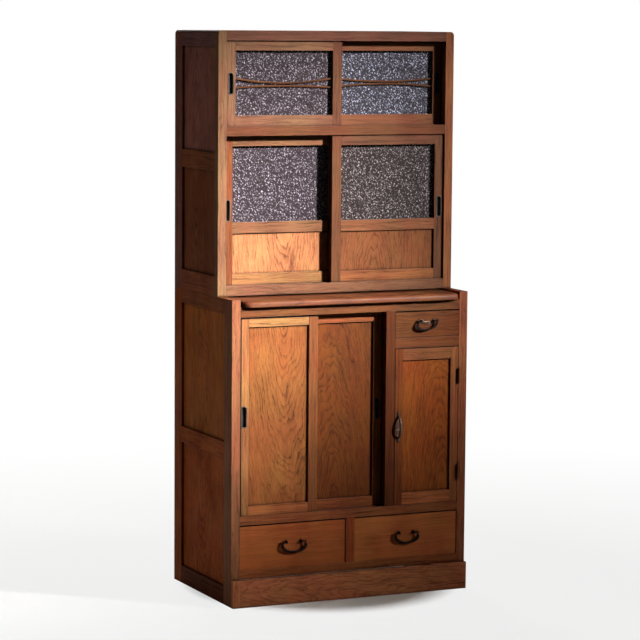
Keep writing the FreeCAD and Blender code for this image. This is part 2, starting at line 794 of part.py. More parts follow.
def hinge_leaf(part, place):
    """A leaf with its knuckles, clear of the other leaf's knuckles."""
    x = leaf_x(part)
    leaf_y = ("hinge_y + hinge_barrel_radius + running_clearance", "hinge_y + hinge_leaf_width")
    solids = [box(f"{part} leaf", x, leaf_y, HINGE_PLACES[place])]
    bore = "hinge_pin_radius"
    if part == "door":
        bore = "hinge_pin_radius + hinge_pin_clearance"
    for z in knuckle_ranges(place, part):
        web = box("web", x, ("hinge_y", leaf_y[0]), z)
        barrel = cylinder("barrel", "z", "hinge_barrel_radius", z, "hinge_x", "hinge_y")
        hole = cylinder("bore", "z", bore, z, "hinge_x", "hinge_y")
        solids.append(cut("knuckle", fuse("knuckle body", web, barrel), hole))
    return fuse(f"{part} {place} hinge leaf", *solids)


def hinged_door():
    """The framed door of the right bay, with two butt hinges and a bow pull."""
    x = ("right_bay_x + hinged_door_clearance", "hinge_edge_x")
    z = ("hinged_low_z", "hinged_high_z")
    rails = [plus(z[0], "hinged_door_rail"), minus(z[1], "hinged_door_rail")]
    panel = ("panel", "door_panel_thickness", "door_panel_setback")
    members, filled = framed_door("hinged_door", x, z, "hinged_face_y", "hinged_door_thickness",
                                  "hinged_door_stile", rails, [panel])
    right_stile = members[1]
    pockets = [hinge_pocket("door", place) for place in HINGE_PLACES]
    members[1] = cut("hinged door hinge stile", right_stile, *pockets)
    node("hinged_door_frame", *members)
    node("hinged_door_panel", filled[0][1])
    node("hinged_door_pull", bow_pull())
    node("hinged_door_hinge_leaves", *[hinge_leaf("door", place) for place in HINGE_PLACES])
    node("case_hinge_leaves", *[hinge_leaf("case", place) for place in HINGE_PLACES])
    node("hinge_pins", *[cylinder("pin", "z", "hinge_pin_radius", z, "hinge_x", "hinge_y")
                         for z in HINGE_PLACES.values()])


def bow_pull():
    """A leaf-shaped plate with a bow standing off it, thickest in the middle."""
    thickness = value("bow_plate_thickness")
    half_width, half_height = value("bow_plate_width") / 2, value("bow_plate_height") / 2
    top, bottom = Vector(0, 0, half_height), Vector(0, 0, -half_height)
    plate_outline = arc_outline([bottom, Vector(-half_width, 0, 0), top],
                                [top, Vector(half_width, 0, 0), bottom])
    at_face = ("bow_x", "hinged_face_y - bow_plate_thickness", "hinged_middle_z")
    plate = extruded("Pull plate", plate_outline, Vector(0, thickness, 0), at_face)
    reach = value("bow_reach") - thickness
    half_bow = value("bow_height") / 2
    foot = value("bow_thickness")
    outer = [Vector(0, 0, -half_bow), Vector(0, -reach, 0), Vector(0, 0, half_bow)]
    inner = [Vector(0, 0, half_bow - foot), Vector(0, foot - reach, 0),
             Vector(0, 0, foot - half_bow)]
    bow = extruded("Bow", arc_outline(outer, inner), Vector(value("bow_width"), 0, 0),
                   ("bow_x - bow_width / 2", at_face[1], at_face[2]))
    return fuse("Bow pull", plate, bow)


def drawer(name, x, z, bail):
    """A drawer with its box, its eye posts and its bail."""
    low_x, high_x = x
    front_x = (f"{low_x} + drawer_side_clearance", f"{high_x} - drawer_side_clearance")
    low_z = f"{z[0]} + running_clearance"
    front_y = plus("drawer_face_y", "drawer_front_thickness")
    middle_x = f"({low_x} + ({high_x})) / 2"
    bail_z = f"({z[0]} + {z[1]}) / 2 + {bail['rise']}"
    front = box(name + " front", front_x, front_y, (low_z, f"{z[1]} - drawer_top_clearance"))
    posts, holes = eye_posts(name, middle_x, bail_z, bail)
    node(f"{name}_front", cut(name + " bored front", front, *holes))
    side_z = (low_z, f"{z[1]} - drawer_side_drop")
    sides_y = (front_y[1], "drawer_back_y")
    left = plus(front_x[0], "drawer_side_thickness")
    right = minus(front_x[1], "drawer_side_thickness")
    back_y = minus("drawer_back_y", "drawer_side_thickness")
    bottom_z = plus(f"{low_z} + drawer_bottom_inset", "drawer_bottom_thickness")
    node(f"{name}_box", box(name + " left side", left, sides_y, side_z),
         box(name + " right side", right, sides_y, side_z),
         box(name + " back", (left[1], right[0]), back_y, side_z),
         box(name + " bottom", (left[1], right[0]), (front_y[1], back_y[0]), bottom_z))
    node(f"{name}_bail", crescent_bail(name, middle_x, bail_z, bail))
    node(f"{name}_eye_posts", *posts)


def eye_posts(name, middle_x, bail_z, bail):
    """Two posts that carry the bail; returns them and the holes that they need."""
    posts, holes = [], []
    half = f"{bail['spacing']} / 2"
    for centre in (f"{middle_x} - {half}", f"{middle_x} + {half}"):
        through = ("bail_y + (bail_pin_radius + eye_radius) / 2",
                   "drawer_face_y + drawer_front_thickness")
        shank = cylinder("shank", "y", "shank_radius", through, centre, bail_z)
        rosette = cylinder("rosette", "y", "rosette_radius",
                           minus("drawer_face_y", "rosette_thickness"), centre, bail_z)
        eye_x = (f"{centre} - eye_width / 2", f"{centre} + eye_width / 2")
        eye = cylinder("eye", "x", "eye_radius", eye_x, "bail_y", bail_z)
        bore = cylinder("eye bore", "x", "bail_pin_radius + bail_pin_play", eye_x, "bail_y", bail_z)
        solids = [shank, rosette, eye]
        posts.append(cut(name + " eye post", fuse("post body", *solids), bore))
        hole = cylinder("hole", "y", "shank_radius",
                        ("drawer_face_y", "drawer_face_y + drawer_front_thickness"),
                        centre, bail_z)
        holes.append(hole)
    if bail["plate"]:
        posts.append(back_plate(name, middle_x, bail_z, posts))
    return posts, holes


def back_plate(name, middle_x, bail_z, posts):
    """A thin drooping plate behind a small bail, fitted round the posts' rosettes."""
    half_width, height = value("back_plate_width") / 2, value("back_plate_height")
    ends = value("back_plate_droop") / 3
    top = ends - value("back_plate_droop")
    left, right = Vector(-half_width, 0, ends), Vector(half_width, 0, ends)
    outline = arc_outline([left, Vector(0, 0, top), right],
                          [right, Vector(0, 0, top - height), left])
    plate = extruded(name + " plate", outline, Vector(0, value("rosette_thickness"), 0),
                     (middle_x, "drawer_face_y - rosette_thickness", bail_z))
    return cut(name + " back plate", plate, *posts)


def crescent_bail(name, middle_x, bail_z, bail):
    """A flat crescent between two ellipses, with a knob and a pin at each tip."""
    width, drop = value(bail["tip"]) / BAIL_TIP_SHARE, value(bail["drop"])
    solids = []
    for shares in (BAIL_OUTER_SHARES, BAIL_INNER_SHARES):
        half_width, half_height = shares["half_width"] * width, shares["half_height"] * drop
        ellipse = Part.Ellipse(Vector(0, 0, 0), half_width, half_height)
        face = Part.Face(Part.Wire([ellipse.toShape()]))
        face.rotate(Vector(0, 0, 0), Vector(1, 0, 0), 90)
        face.translate(Vector(0, 0, shares["centre"] * drop))
        solids.append(face.extrude(Vector(0, value("bail_thickness"), 0)))
    crescent = doc.addObject("Part::Feature", "Shaped")
    crescent.Label = name + " crescent"
    crescent.Shape = solids[0].cut(solids[1])
    bind(crescent, Placement__Base__x=middle_x, Placement__Base__z=bail_z,
         Placement__Base__y="bail_y - bail_thickness / 2")
    ends = []
    tip = bail["tip"]
    for side in SIDES:
        sign = "-" if side == "left" else "+"
        knob_x = (f"{middle_x} {sign} {tip} - bail_knob_length / 2",
                  f"{middle_x} {sign} {tip} + bail_knob_length / 2")
        ends.append(cylinder("knob", "x", "bail_knob_radius", knob_x, "bail_y", bail_z))
        eye = f"{middle_x} {sign} {bail['spacing']} / 2"
        if side == "left":
            pin_x = (knob_x[1], f"{eye} + eye_width / 2")
        else:
            pin_x = (f"{eye} - eye_width / 2", knob_x[0])
        ends.append(cylinder("pin", "x", "bail_pin_radius", pin_x, "bail_y", bail_z))
    return fuse(name + " bail", crescent, *ends)


def drawers():
    wide_bail = {"tip": "bail_tip", "drop": "bail_drop", "rise": "bail_rise",
                 "spacing": "bail_spacing", "plate": False}
    small_bail = {"tip": "small_bail_tip", "drop": "small_bail_drop",
                  "rise": "small_bail_rise", "spacing": "small_bail_spacing", "plate": True}
    drawer("small_drawer", ("right_bay_x", "inner_x"), ("drawer_rail_top_z", "head_z"), small_bail)
    bottom = ("drawer_low_z", "sill_z")
    drawer("left_drawer", ("-inner_x", "-drawer_divider_width / 2"), bottom, wide_bail)
    drawer("right_drawer", ("drawer_divider_width / 2", "inner_x"), bottom, wide_bail)


def check_document():
    """Stop on any object that failed, and on any sub-part that isn't a sound solid."""
    for thing in doc.Objects:
        if "Invalid" in thing.State or "Error" in thing.State:
            raise RuntimeError(f"{thing.Label} failed: {thing.State}")
    for part in nodes:
        if part.Shape.isNull() or not part.Shape.isValid() or not part.Shape.Solids:
            raise RuntimeError(f"{part.Label} has no sound shape")


def write_parts():
    os.makedirs("parts", exist_ok=True)
    for part in nodes:
        part.Shape.exportStep(os.path.join("parts", part.Label + ".step"))
    print(len(nodes), "sub-parts,", sum(len(part.Shape.Solids) for part in nodes), "solids")


fill_sheets()
upper_case()
lower_case()
cleats()
backs()
serving_board()
sliding_doors()
hinged_door()
drawers()
doc.recompute()
check_document()
write_parts()
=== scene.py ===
"""Looks of a mizuya kitchen cabinet: a glazed upper case standing on a deeper lower case.

Metres. +X is the viewer's right, -Y the front and +Z up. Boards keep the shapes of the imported
frame, with eased edges and a grain of their own; glass, slats and ironwork are new surfaces.
"""
import functools
import json
import math
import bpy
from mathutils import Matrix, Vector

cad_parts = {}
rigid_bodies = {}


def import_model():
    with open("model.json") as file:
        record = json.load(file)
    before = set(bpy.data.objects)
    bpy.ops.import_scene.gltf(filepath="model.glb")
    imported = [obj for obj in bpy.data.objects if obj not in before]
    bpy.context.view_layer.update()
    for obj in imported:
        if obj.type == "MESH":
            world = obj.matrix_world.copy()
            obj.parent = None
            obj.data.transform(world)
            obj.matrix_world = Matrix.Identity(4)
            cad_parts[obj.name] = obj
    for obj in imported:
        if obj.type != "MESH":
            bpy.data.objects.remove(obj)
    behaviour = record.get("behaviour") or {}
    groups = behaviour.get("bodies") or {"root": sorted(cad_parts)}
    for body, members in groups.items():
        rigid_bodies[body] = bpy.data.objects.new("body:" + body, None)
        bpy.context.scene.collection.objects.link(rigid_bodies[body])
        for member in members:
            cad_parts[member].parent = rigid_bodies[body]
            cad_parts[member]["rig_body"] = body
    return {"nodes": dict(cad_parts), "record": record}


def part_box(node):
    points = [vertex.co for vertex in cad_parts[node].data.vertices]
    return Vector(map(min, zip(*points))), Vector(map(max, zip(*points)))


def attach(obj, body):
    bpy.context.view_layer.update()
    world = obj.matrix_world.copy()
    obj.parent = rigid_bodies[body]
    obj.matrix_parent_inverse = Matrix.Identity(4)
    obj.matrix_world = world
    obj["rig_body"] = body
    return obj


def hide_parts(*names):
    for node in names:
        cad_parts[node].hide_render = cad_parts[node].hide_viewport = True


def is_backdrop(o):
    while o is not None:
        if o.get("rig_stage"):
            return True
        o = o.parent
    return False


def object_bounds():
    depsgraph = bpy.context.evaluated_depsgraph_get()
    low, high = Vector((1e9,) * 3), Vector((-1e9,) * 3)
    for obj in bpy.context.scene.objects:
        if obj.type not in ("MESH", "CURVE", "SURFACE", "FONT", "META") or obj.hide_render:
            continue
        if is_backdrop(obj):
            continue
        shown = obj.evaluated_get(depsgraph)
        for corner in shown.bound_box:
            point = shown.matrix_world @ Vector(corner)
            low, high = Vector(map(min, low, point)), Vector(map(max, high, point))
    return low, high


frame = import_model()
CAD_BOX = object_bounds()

import zlib

import bmesh
import bpy
import numpy as np
from mathutils import Matrix, Vector

bl_info = {
    "name": "Mizuya kitchen cabinet",
    "version": (1, 0, 0),
    "blender": (4, 5, 0),
    "location": "3D View > Sidebar > Cabinet",
    "description": "Dresses the packed frame of a mizuya kitchen cabinet",
    "category": "Object",
}

MM = 0.001


def linear(code):
    """An sRGB hex colour as linear red, green, blue and alpha."""
    parts = [int(code[place:place + 2], 16) / 255 for place in (1, 3, 5)]
    return tuple(part / 12.92 if part <= 0.04045 else ((part + 0.055) / 1.055) ** 2.4
                 for part in parts) + (1.0,)


def colour(name, description, code):
    return bpy.props.FloatVectorProperty(name=name, description=description, subtype="COLOR",
                                         size=4, min=0, max=1, default=linear(code))


def length(name, description, size):
    return bpy.props.FloatProperty(name=name, description=description, default=size, min=0,
                                   unit="LENGTH", precision=5)


def power(name, description, watts):
    return bpy.props.FloatProperty(name=name, description=description, default=watts, min=0,
                                   unit="POWER")


class CabinetLooks(bpy.types.PropertyGroup):
    """Sizes and colours that a user would change."""
    eased_edge: length("Eased edge", "Width of the worn round along a board's edges", 0.8 * MM)
    ring_width: length("Ring width", "Distance between two growth rings", 7 * MM)
    pebble_width: length("Pebble width", "Distance between two pebbles of the glass", 5.4 * MM)
    pebble_height: length("Pebble height", "How far a pebble stands off the glass", 0.7 * MM)
    frame_pale: colour("Frame, early wood", "Stained elm between the rings", "#d8965f")
    frame_dark: colour("Frame, late wood", "Stained elm in the rings", "#60361f")
    panel_pale: colour("Panel, early wood", "Figured elm between the rings", "#e69a5c")
    panel_dark: colour("Panel, late wood", "Figured elm in the rings", "#5e3219")
    inside_pale: colour("Inside, early wood", "Bare softwood between the rings", "#b08a63")
    inside_dark: colour("Inside, late wood", "Bare softwood in the rings", "#80593a")
    serving_pale: colour("Serving board, early wood", "Handled elm between the rings", "#dd9a6c")
    serving_dark: colour("Serving board, late wood", "Handled elm in the rings", "#6a4028")
    worn_edge: colour("Worn edge", "Wood laid bare along the edges", "#e8b48a")
    # The pane is opaque: its dark colour paints the shaded inside behind it, and the glint colour
    # is a painted highlight
    glass_body: colour("Glass", "Obscure glass before a dark inside", "#4c4549")
    glass_painted_glint: colour("Glass glint", "Light caught in a pebble", "#d8dbe8")
    iron_black: colour("Blackened iron", "Forge scale on the handles", "#140c09")
    iron_worn: colour("Worn iron", "Iron gone brown with handling", "#3f291f")
    iron_bare: colour("Rubbed iron", "Iron laid bare by hands", "#8f7563")
    hinge_brown: colour("Hinges", "Leaves that took the stain of the wood", "#59341f")
    pull_rim: colour("Pull rim", "Dulled metal of the finger pulls", "#4c3c30")
    # Near black at the bottom of a finger pull's recess
    pull_recess: colour("Pull recess", "Grime at the bottom of a finger pull", "#0d0b0a")
    floor_tint: colour("Floor", "Pale studio floor", "#e6e3de")
    key_power: power("Key light", "Power of the large lamp", 13)
    pool_power: power("Pool of light", "Power of the narrow lamp beside the key", 27)
    key_size: length("Key size", "Side of the large lamp", 1.0)
    back_power: power("Back light", "Power of the rear lamp", 150)
    left_power: power("Left light", "Power of the left lamp", 26)
    fill_level: bpy.props.FloatProperty(name="Fill", description="Light from all round",
                                        default=0.04, min=0, max=1, subtype="FACTOR")


# Boards ---------------------

SLOTS = {part["node"]: part["material_slot"] for part in frame["record"]["subparts"]}

# Boards sawn flat, which show arches; the others are sawn nearer to the radius and run straight
ARCHED = {"plinth_board", "serving_board", "upper_top_board", "back_boards"} | {
    node for node, slot in SLOTS.items() if slot == "panel_wood"}

# Boards whose rings hardly show
PLAIN = {"left_drawer_front", "right_drawer_front"}

# Boards whose grain runs along their shorter side
UPRIGHT = {"middle_left_door_panel", "middle_right_door_panel"}

# Where the figure of the best boards lies: how far the pith is from the board's middle, to the
# right or up, and how far behind it, in millimetres, then the climb along the board and the sweep
FIGURES = {
    "middle_left_door_panel": (15, 42, -0.20, 0.0), "middle_right_door_panel": (-50, 42, 0.20, 0.0),
    "base_left_door_panel": (30, 70, -0.20, 0.04), "base_right_door_panel": (-42, 72, 0.22, 0.05),
    "hinged_door_panel": (55, 66, 0.20, 0.03), "small_drawer_front": (75, 60, 0.05, 0.02),
    "left_drawer_front": (100, 50, 0.03, 0.02), "right_drawer_front": (95, 60, 0.02, -0.02),
    "plinth_board": (-34, 70, -0.14, 0.10),
}

# Edges of doors, drawers and panels painted black: painted shade of the gaps beside them and
# painted shadow of the rails and stiles in front of them. The axis, which end of it, and how wide
# the black is in millimetres, with what a groove hides of it
PAINTED_SHADE_EDGES = {
    "small_drawer_front": ((0, -1, 0.8), (2, 1, 1.2), (2, -1, 1.2)),
    "left_drawer_front": ((0, 1, 2.8), (2, 1, 1.0)),
    "right_drawer_front": ((0, 1, 2.2), (2, 1, 0.6)),
    "hinged_door_frame": ((0, -1, 1.6), (2, 1, 1.6)),
    "base_left_door_frame": ((0, -1, 5.8), (2, 1, 10.5)),
}
# The top edge of each panel: painted shadow of the rail above it
PAINTED_SHADE_EDGES |= dict.fromkeys(("middle_left_door_panel", "middle_right_door_panel", "hinged_door_panel",
                        "base_left_door_panel", "base_right_door_panel"), ((2, 1, 8.5),))

# What the stain leaves of the wood's own colour, on each piece or on each board of a piece, with
# painted light and shade mixed in: how strongly the light falls on each board, and a bluish cast on
# some side boards
STAINS_AND_LIGHT = {
    "upper_posts": "#797c88 #827194 #928284 #85766f",
    "upper_front_rails": "#6c6076 #695956 #746e7d",
    "upper_side_rails": "#8a6a5b #856b5a #7877af #82685a #82685a #82685a",
    "upper_side_panels": "#725a4e #867dae #836f64 #836f64",
    "lower_posts": "#897a80 #976722 #998184 #8a6c52",
    "lower_front_rails": "#695a4b #6a5548 #8c736b #977d6d",
    "lower_side_rails": "#623d0f #a36e29 #84674b #7c6044 #7c6044 #7c6044",
    "lower_side_panels": "#9b6b0a #9b7d3e #8c7054 #8c7054",
    "lower_divider_posts": "#5b4023 #996b54",
    "plinth_board": "#bda4ab",
    "top_left_door_frame": "#7d7b8d #6a6066 #7d7b8d #7d7b8d",
    "top_right_door_frame": "#7e6f77",
    "top_left_door_slats": "#5d524c",
    "top_right_door_slats": "#585049",
    "middle_left_door_frame": "#745b4f #7a767f #8f908c #7a767f #7a767f",
    "middle_right_door_frame": "#685c5b #685f68 #8b7873 #807478 #685f68",
    "middle_left_door_panel": "#a09da9",
    "middle_right_door_panel": "#766968",
    "base_left_door_frame": "#918980 #796558 #a08a7d #969891",
    "base_right_door_frame": "#866b5d",
    "base_left_door_panel": "#807263",
    "base_right_door_panel": "#5f4a28",
    "hinged_door_frame": "#715232 #907972 #a98781 #7e6e67",
    "hinged_door_panel": "#82633a",
    "small_drawer_front": "#60503e",
    "left_drawer_front": "#9d7f6e",
    "right_drawer_front": "#a78d7f",
    "serving_board": "#675142",
    "top_left_door_glass": "#b4aaa9",
    "top_right_door_glass": "#cfd2da",
    "middle_left_door_glass": "#aea4a4",
    "middle_right_door_glass": "#afa59c",
    "upper_top_board": "#a08778",
}

# The boards come from this many metres of trunk, so that no two share their figure
TRUNK = 40


def stains_and_light_of(node):
    """The stains of a node's boards with painted light and shade in them, in their order, as linear
    red, green and blue.
    """
    return np.array([linear(code)[:3] for code in STAINS_AND_LIGHT.get(node, "#ffffff").split()])


def box_of(node):
    """The low and the high corner of a node's box."""
    return [np.array(corner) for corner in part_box(node)]


def points_of(mesh):
    points = np.empty(len(mesh.vertices) * 3)
    mesh.vertices.foreach_get("co", points)
    return points.reshape(-1, 3)


def solids(mesh):
    """The separate boards of a CAD mesh, each as points and triangles.

    The mesh gives its triangles board by board, and a closed board uses each edge twice. So the
    edges that are open drop to none exactly where a board ends: count +1 and -1 in turn.
    """
    points = points_of(mesh)
    triangles = np.empty(len(mesh.polygons) * 3, int)
    mesh.polygons.foreach_get("vertices", triangles)
    places, key = np.unique(np.round(points, 6), axis=0, return_inverse=True)
    corners = key.reshape(-1)[triangles.reshape(-1, 3)]
    edges = np.sort(np.stack([corners, np.roll(corners, -1, axis=1)], axis=2), axis=2)
    code = (edges[..., 0] * len(places) + edges[..., 1]).ravel()
    order = np.argsort(code, kind="stable")
    starts = np.flatnonzero(np.diff(code[order], prepend=-1))
    turn = np.arange(len(code)) - np.repeat(starts, np.diff(np.append(starts, len(code))))
    sign = np.empty(len(code), int)
    sign[order] = 1 - 2 * (turn % 2)
    still_open = sign.reshape(-1, 3).sum(axis=1).cumsum()
    ends = np.flatnonzero(still_open == 0) + 1
    for low, high in zip(np.append(0, ends[:-1]), ends):
        used, local = np.unique(corners[low:high], return_inverse=True)
        yield places[used], local.reshape(-1, 3)


def eased(points, triangles, radius):
    """A board with its flat faces made whole and its sharp edges eased."""
    mesh = bpy.data.meshes.new("board")
    mesh.from_pydata(points, [], triangles.tolist())
    work = bmesh.new()
    work.from_mesh(mesh)
    bmesh.ops.dissolve_limit(work, angle_limit=math.radians(1), verts=work.verts,
                             edges=work.edges)
    sharp = [edge for edge in work.edges
             if edge.is_manifold and edge.calc_face_angle() > math.radians(30)]
    bmesh.ops.bevel(work, geom=sharp, offset=radius, offset_type="OFFSET", segments=2,
                    profile=0.5, affect="EDGES", clamp_overlap=True, material=1)
    work.to_mesh(mesh)
    work.free()
    corners = [list(face.vertices) for face in mesh.polygons]
    worn = np.array([face.material_index for face in mesh.polygons], float)
    places = points_of(mesh)
    bpy.data.meshes.remove(mesh)
    return places, corners, worn


def grain_of(points, node, chance):
    """Where a board's points lie in its tree: along the trunk, and across and out from the pith.

    A flat-sawn board lies close outside the pith and climbs through the rings along its length,
    so they show as arches. The others lie far to one side, and show the rings as straight lines.
    """
    low, high = points.min(axis=0), points.max(axis=0)
    thin, middle, longest = np.argsort(high - low)
    if node in UPRIGHT:
        middle, longest = longest, middle
    local = points - (low + high) / 2
    side = chance.choice([-1, 1])
    along, span = local[:, longest], (high - low)[longest]
    if node in FIGURES:
        across, out, climb, sweep = FIGURES[node]
        across, out, fine = -across * MM, out * MM, 1
    elif node in ARCHED:
        across = chance.uniform(-0.2, 0.2) * (high - low)[middle]
        climb, sweep = chance.uniform((0.12, -0.10), (0.20, 0.10)) * min(1, 0.6 / span)
        out, climb, fine = chance.uniform(16, 30) * MM + climb * span / 2, climb * side, 1
    else:
        across = chance.uniform(70, 120) * MM * side
        climb, sweep = chance.uniform(-0.012, 0.012), 0
        out, fine = chance.uniform(70, 130) * MM, 1.5
    return fine * np.stack([along + chance.uniform(0, TRUNK),
                            local[:, middle] + across + sweep * along,
                            local[:, thin] + out + climb * along], axis=1)


def painted_shade_depths(points, node):
    """How far each point lies inside each of the node's black edges of painted shade and shadow, in
    metres; three at most.
    """
    low, high = box_of(node)
    inside = np.ones((len(points), 3))
    for number, (axis, end, width) in enumerate(PAINTED_SHADE_EDGES.get(node, ())):
        inside[:, number] = (points - low if end < 0 else high - points)[:, axis] - width * MM
    return inside


def store(mesh, name, values):
    """Keep a number or a vector for each point, or for each face, of a mesh."""
    kind, field = ("FLOAT", "value") if values.ndim == 1 else ("FLOAT_VECTOR", "vector")
    domain = "POINT" if len(values) == len(mesh.vertices) else "FACE"
    attribute = mesh.attributes.new(name, kind, domain)
    attribute.data.foreach_set(field, values.astype(np.float32).ravel())


def put(name, data, place=None, turn=None):
    """An object in the scene, at its place and turned."""
    thing = bpy.data.objects.new(name, data)
    thing.matrix_world = Matrix.LocRotScale(place, turn, None)
    bpy.context.scene.collection.objects.link(thing)
    return thing


def piece(mesh, node, ending, material):
    """An object for a mesh, which rides with the node that it stands for."""
    thing = put(f"{node}_{ending}", mesh)
    mesh.materials.append(material)
    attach(thing, frame["nodes"][node]["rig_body"])
    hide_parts(node)
    return thing


def shade(mesh, angle):
    """Smooth shading, with edges sharper than the angle kept."""
    mesh.polygons.foreach_set("use_smooth", np.ones(len(mesh.polygons), bool))
    mesh.set_sharp_from_angle(angle=math.radians(angle))


def board_piece(node, radius, material):
    """All the boards of a node in one mesh, each with its own grain, and its stain with painted
    light and shade.
    """
    chance = np.random.default_rng(zlib.crc32(node.encode()))
    stains_and_light = stains_and_light_of(node)
    points, faces, worn, grain, tone = [], [], [], [], []
    count = 0
    for place, triangles in solids(frame["nodes"][node].data):
        corners, sides, bare = eased(place, triangles, radius)
        faces += [[corner + count for corner in side] for side in sides]
        count += len(corners)
        points.append(corners)
        worn.append(bare)
        grain.append(grain_of(corners, node, chance))
        # Each board's stain, with painted light and shade in it
        tone.append(np.tile(stains_and_light[len(tone) % len(stains_and_light)], (len(corners), 1)))
    mesh = bpy.data.meshes.new(node)
    mesh.from_pydata(np.concatenate(points), [], faces)
    store(mesh, "grain", np.concatenate(grain))
    store(mesh, "tone", np.concatenate(tone))
    store(mesh, "seam", painted_shade_depths(np.concatenate(points), node))
    store(mesh, "worn", np.concatenate(worn))
    shade(mesh, 15)
    return piece(mesh, node, "timber", material)


# New surfaces ---------------

ROUND = np.linspace(0, 2 * math.pi, 20, endpoint=False)


def shell(name, *grids):
    """One mesh from closed surfaces. A grid holds rows of points, each row a closed section.

    Neighbouring rows are joined by quads and the first and last rows are closed by a face, which
    vanishes where the row is drawn in to a point or a line.
    """
    points, faces, count = [], [], 0
    for grid in grids:
        rows, columns = grid.shape[:2]
        index = np.arange(rows * columns).reshape(rows, columns) + count
        onward = np.roll(index, -1, axis=1)
        quads = np.stack([index[:-1], onward[:-1], onward[1:], index[1:]], axis=2)
        faces += quads.reshape(-1, 4).tolist() + [index[0][::-1].tolist(), index[-1].tolist()]
        points.append(grid.reshape(-1, 3))
        count += rows * columns
    mesh = bpy.data.meshes.new(name)
    mesh.from_pydata(np.concatenate(points), [], faces)
    work = bmesh.new()
    work.from_mesh(mesh)
    bmesh.ops.remove_doubles(work, verts=work.verts, dist=1e-7)
    bmesh.ops.recalc_face_normals(work, faces=work.faces)
    work.to_mesh(mesh)
    work.free()
    shade(mesh, 40)
    return mesh


def lathe(profile, centre, axis):
    """A profile of radius and distance turned about an axis.

    Point = centre + radius * (cos a, sin a) across the axis + distance along it.
    """
    radius, distance = np.array(profile, float).T[:, :, None] * MM
    grid = np.empty((len(profile), len(ROUND), 3))
    first, second = [number for number in range(3) if number != axis]
    grid[..., axis] = distance
    grid[..., first] = radius * np.cos(ROUND)
    grid[..., second] = radius * np.sin(ROUND)
    return grid + np.array(centre)


def crescent(outer, inner, depth, axis, squareness=1.0):
    """A bar between two curves.

    Section = middle of the two points + half their distance * cos a + depth * sin a along the
    axis, with both powers lowered towards 0 as the section turns from an oval to a rectangle.
    """
    cosine, sine = np.cos(ROUND), np.sin(ROUND)
    cosine = np.sign(cosine) * np.abs(cosine) ** squareness
    sine = np.sign(sine) * np.abs(sine) ** squareness
    middle, half = (outer + inner) / 2, (outer - inner) / 2
    grid = middle[:, None] + half[:, None] * cosine[None, :, None]
    grid[..., axis] += np.broadcast_to(depth, len(outer))[:, None] * sine
    return grid


def ring(centre, radius, half_wall, half_width, axis):
    """A rounded ring: a lathe whose profile is an oval that starts and ends on its inner side."""
    turn = np.linspace(math.pi, 3 * math.pi, 13)
    profile = np.stack([radius + half_wall * np.cos(turn), half_width * np.sin(turn)], axis=1)
    return lathe(profile, centre, axis)


# Glass ----------------------

# A pebble's painted highlight stroke: how light it is in the mean and how much that varies, then
# half its length and half its width as shares of a pebble
STROKE_LIGHT, STROKE_SPREAD, STROKE_LENGTH, STROKE_WIDTH = 0.9, 0.6, 0.48, 0.22
POINTS_A_PEBBLE = 5


def pebbles(x, z, width, chance):
    """How high a pebbled surface stands, 0 to 1, and its painted glint: 0 between the strokes.

    Each square cell has one pebble at a random place in it. Height = 1 - (distance to the nearest
    pebble / width) squared. Each pebble also has a painted highlight stroke, nearly always light,
    that leans about 45 degrees to either side: its brightness * exp(-(along / length) squared -
    (across / width) squared).
    """
    column, row = np.floor(x / width).astype(int), np.floor(z / width).astype(int)
    low = column.min() - 1, row.min() - 1
    column, row = column - low[0], row - low[1]
    cells = (column.max() + 2, row.max() + 2)
    offset = chance.uniform(0.1, 0.9, cells + (2,))
    lean = chance.choice([-1, -1, 1], cells) * math.pi / 4 + chance.uniform(-0.4, 0.4, cells)
    brightness = chance.normal(STROKE_LIGHT, STROKE_SPREAD, cells)
    nearest = np.full(x.shape, np.inf)
    light = np.zeros(x.shape)
    for step_x in (-1, 0, 1):
        for step_z in (-1, 0, 1):
            near = column + step_x, row + step_z
            away_x = x / width - low[0] - near[0] - offset[near][..., 0]
            away_z = z / width - low[1] - near[1] - offset[near][..., 1]
            nearest = np.minimum(nearest, np.hypot(away_x, away_z))
            along = away_x * np.cos(lean[near]) + away_z * np.sin(lean[near])
            across = away_z * np.cos(lean[near]) - away_x * np.sin(lean[near])
            light += brightness[near] * np.exp(-(along / STROKE_LENGTH) ** 2
                                               - (across / STROKE_WIDTH) ** 2)
    return 1 - np.minimum(nearest, 1) ** 2, light


def pane(node, looks):
    """A pane whose front is a grid raised by pebbles, closed by four edges and a flat back."""
    low, high = box_of(node)
    chance = np.random.default_rng(zlib.crc32(node.encode()))
    step = looks.pebble_width / POINTS_A_PEBBLE
    columns = np.linspace(low[0], high[0], int((high[0] - low[0]) / step))
    rows = np.linspace(low[2], high[2], int((high[2] - low[2]) / step))
    x, z = np.meshgrid(columns, rows, indexing="ij")
    height, glint = pebbles(x, z, looks.pebble_width, chance)
    y = low[1] + looks.pebble_height * (1 - height)
    index = np.arange(x.size).reshape(x.shape)
    border = np.concatenate([index[:-1, 0], index[-1, :-1], index[:0:-1, -1], index[0, :0:-1]])
    front = np.stack([x, y, z], axis=2).reshape(-1, 3)
    back = front[border].copy()
    back[:, 1] = high[1]
    behind = np.arange(len(border)) + x.size
    quads = np.stack([index[:-1, :-1], index[1:, :-1], index[1:, 1:], index[:-1, 1:]], axis=2)
    edge = np.stack([border, behind, np.roll(behind, -1), np.roll(border, -1)], axis=1)
    mesh = bpy.data.meshes.new(node)
    mesh.from_pydata(np.concatenate([front, back]), [],
                     quads.reshape(-1, 4).tolist() + edge.tolist() + [behind[::-1].tolist()])
    store(mesh, "glint", np.concatenate([glint.ravel(), np.zeros(len(border))]))
    store(mesh, "tone", np.tile(stains_and_light_of(node)[0], (x.size + len(border), 1)))
    shade(mesh, 60)
    return mesh


# Slats ----------------------

# Height of a slat at its ends and at its middle, in millimetres from the opening's middle
SLAT_BENDS = {"left": ((14, 0), (-14, -9)), "right": ((12.5, 3.5), (-12.5, -3.5))}
SLAT_HALF = 3 * MM


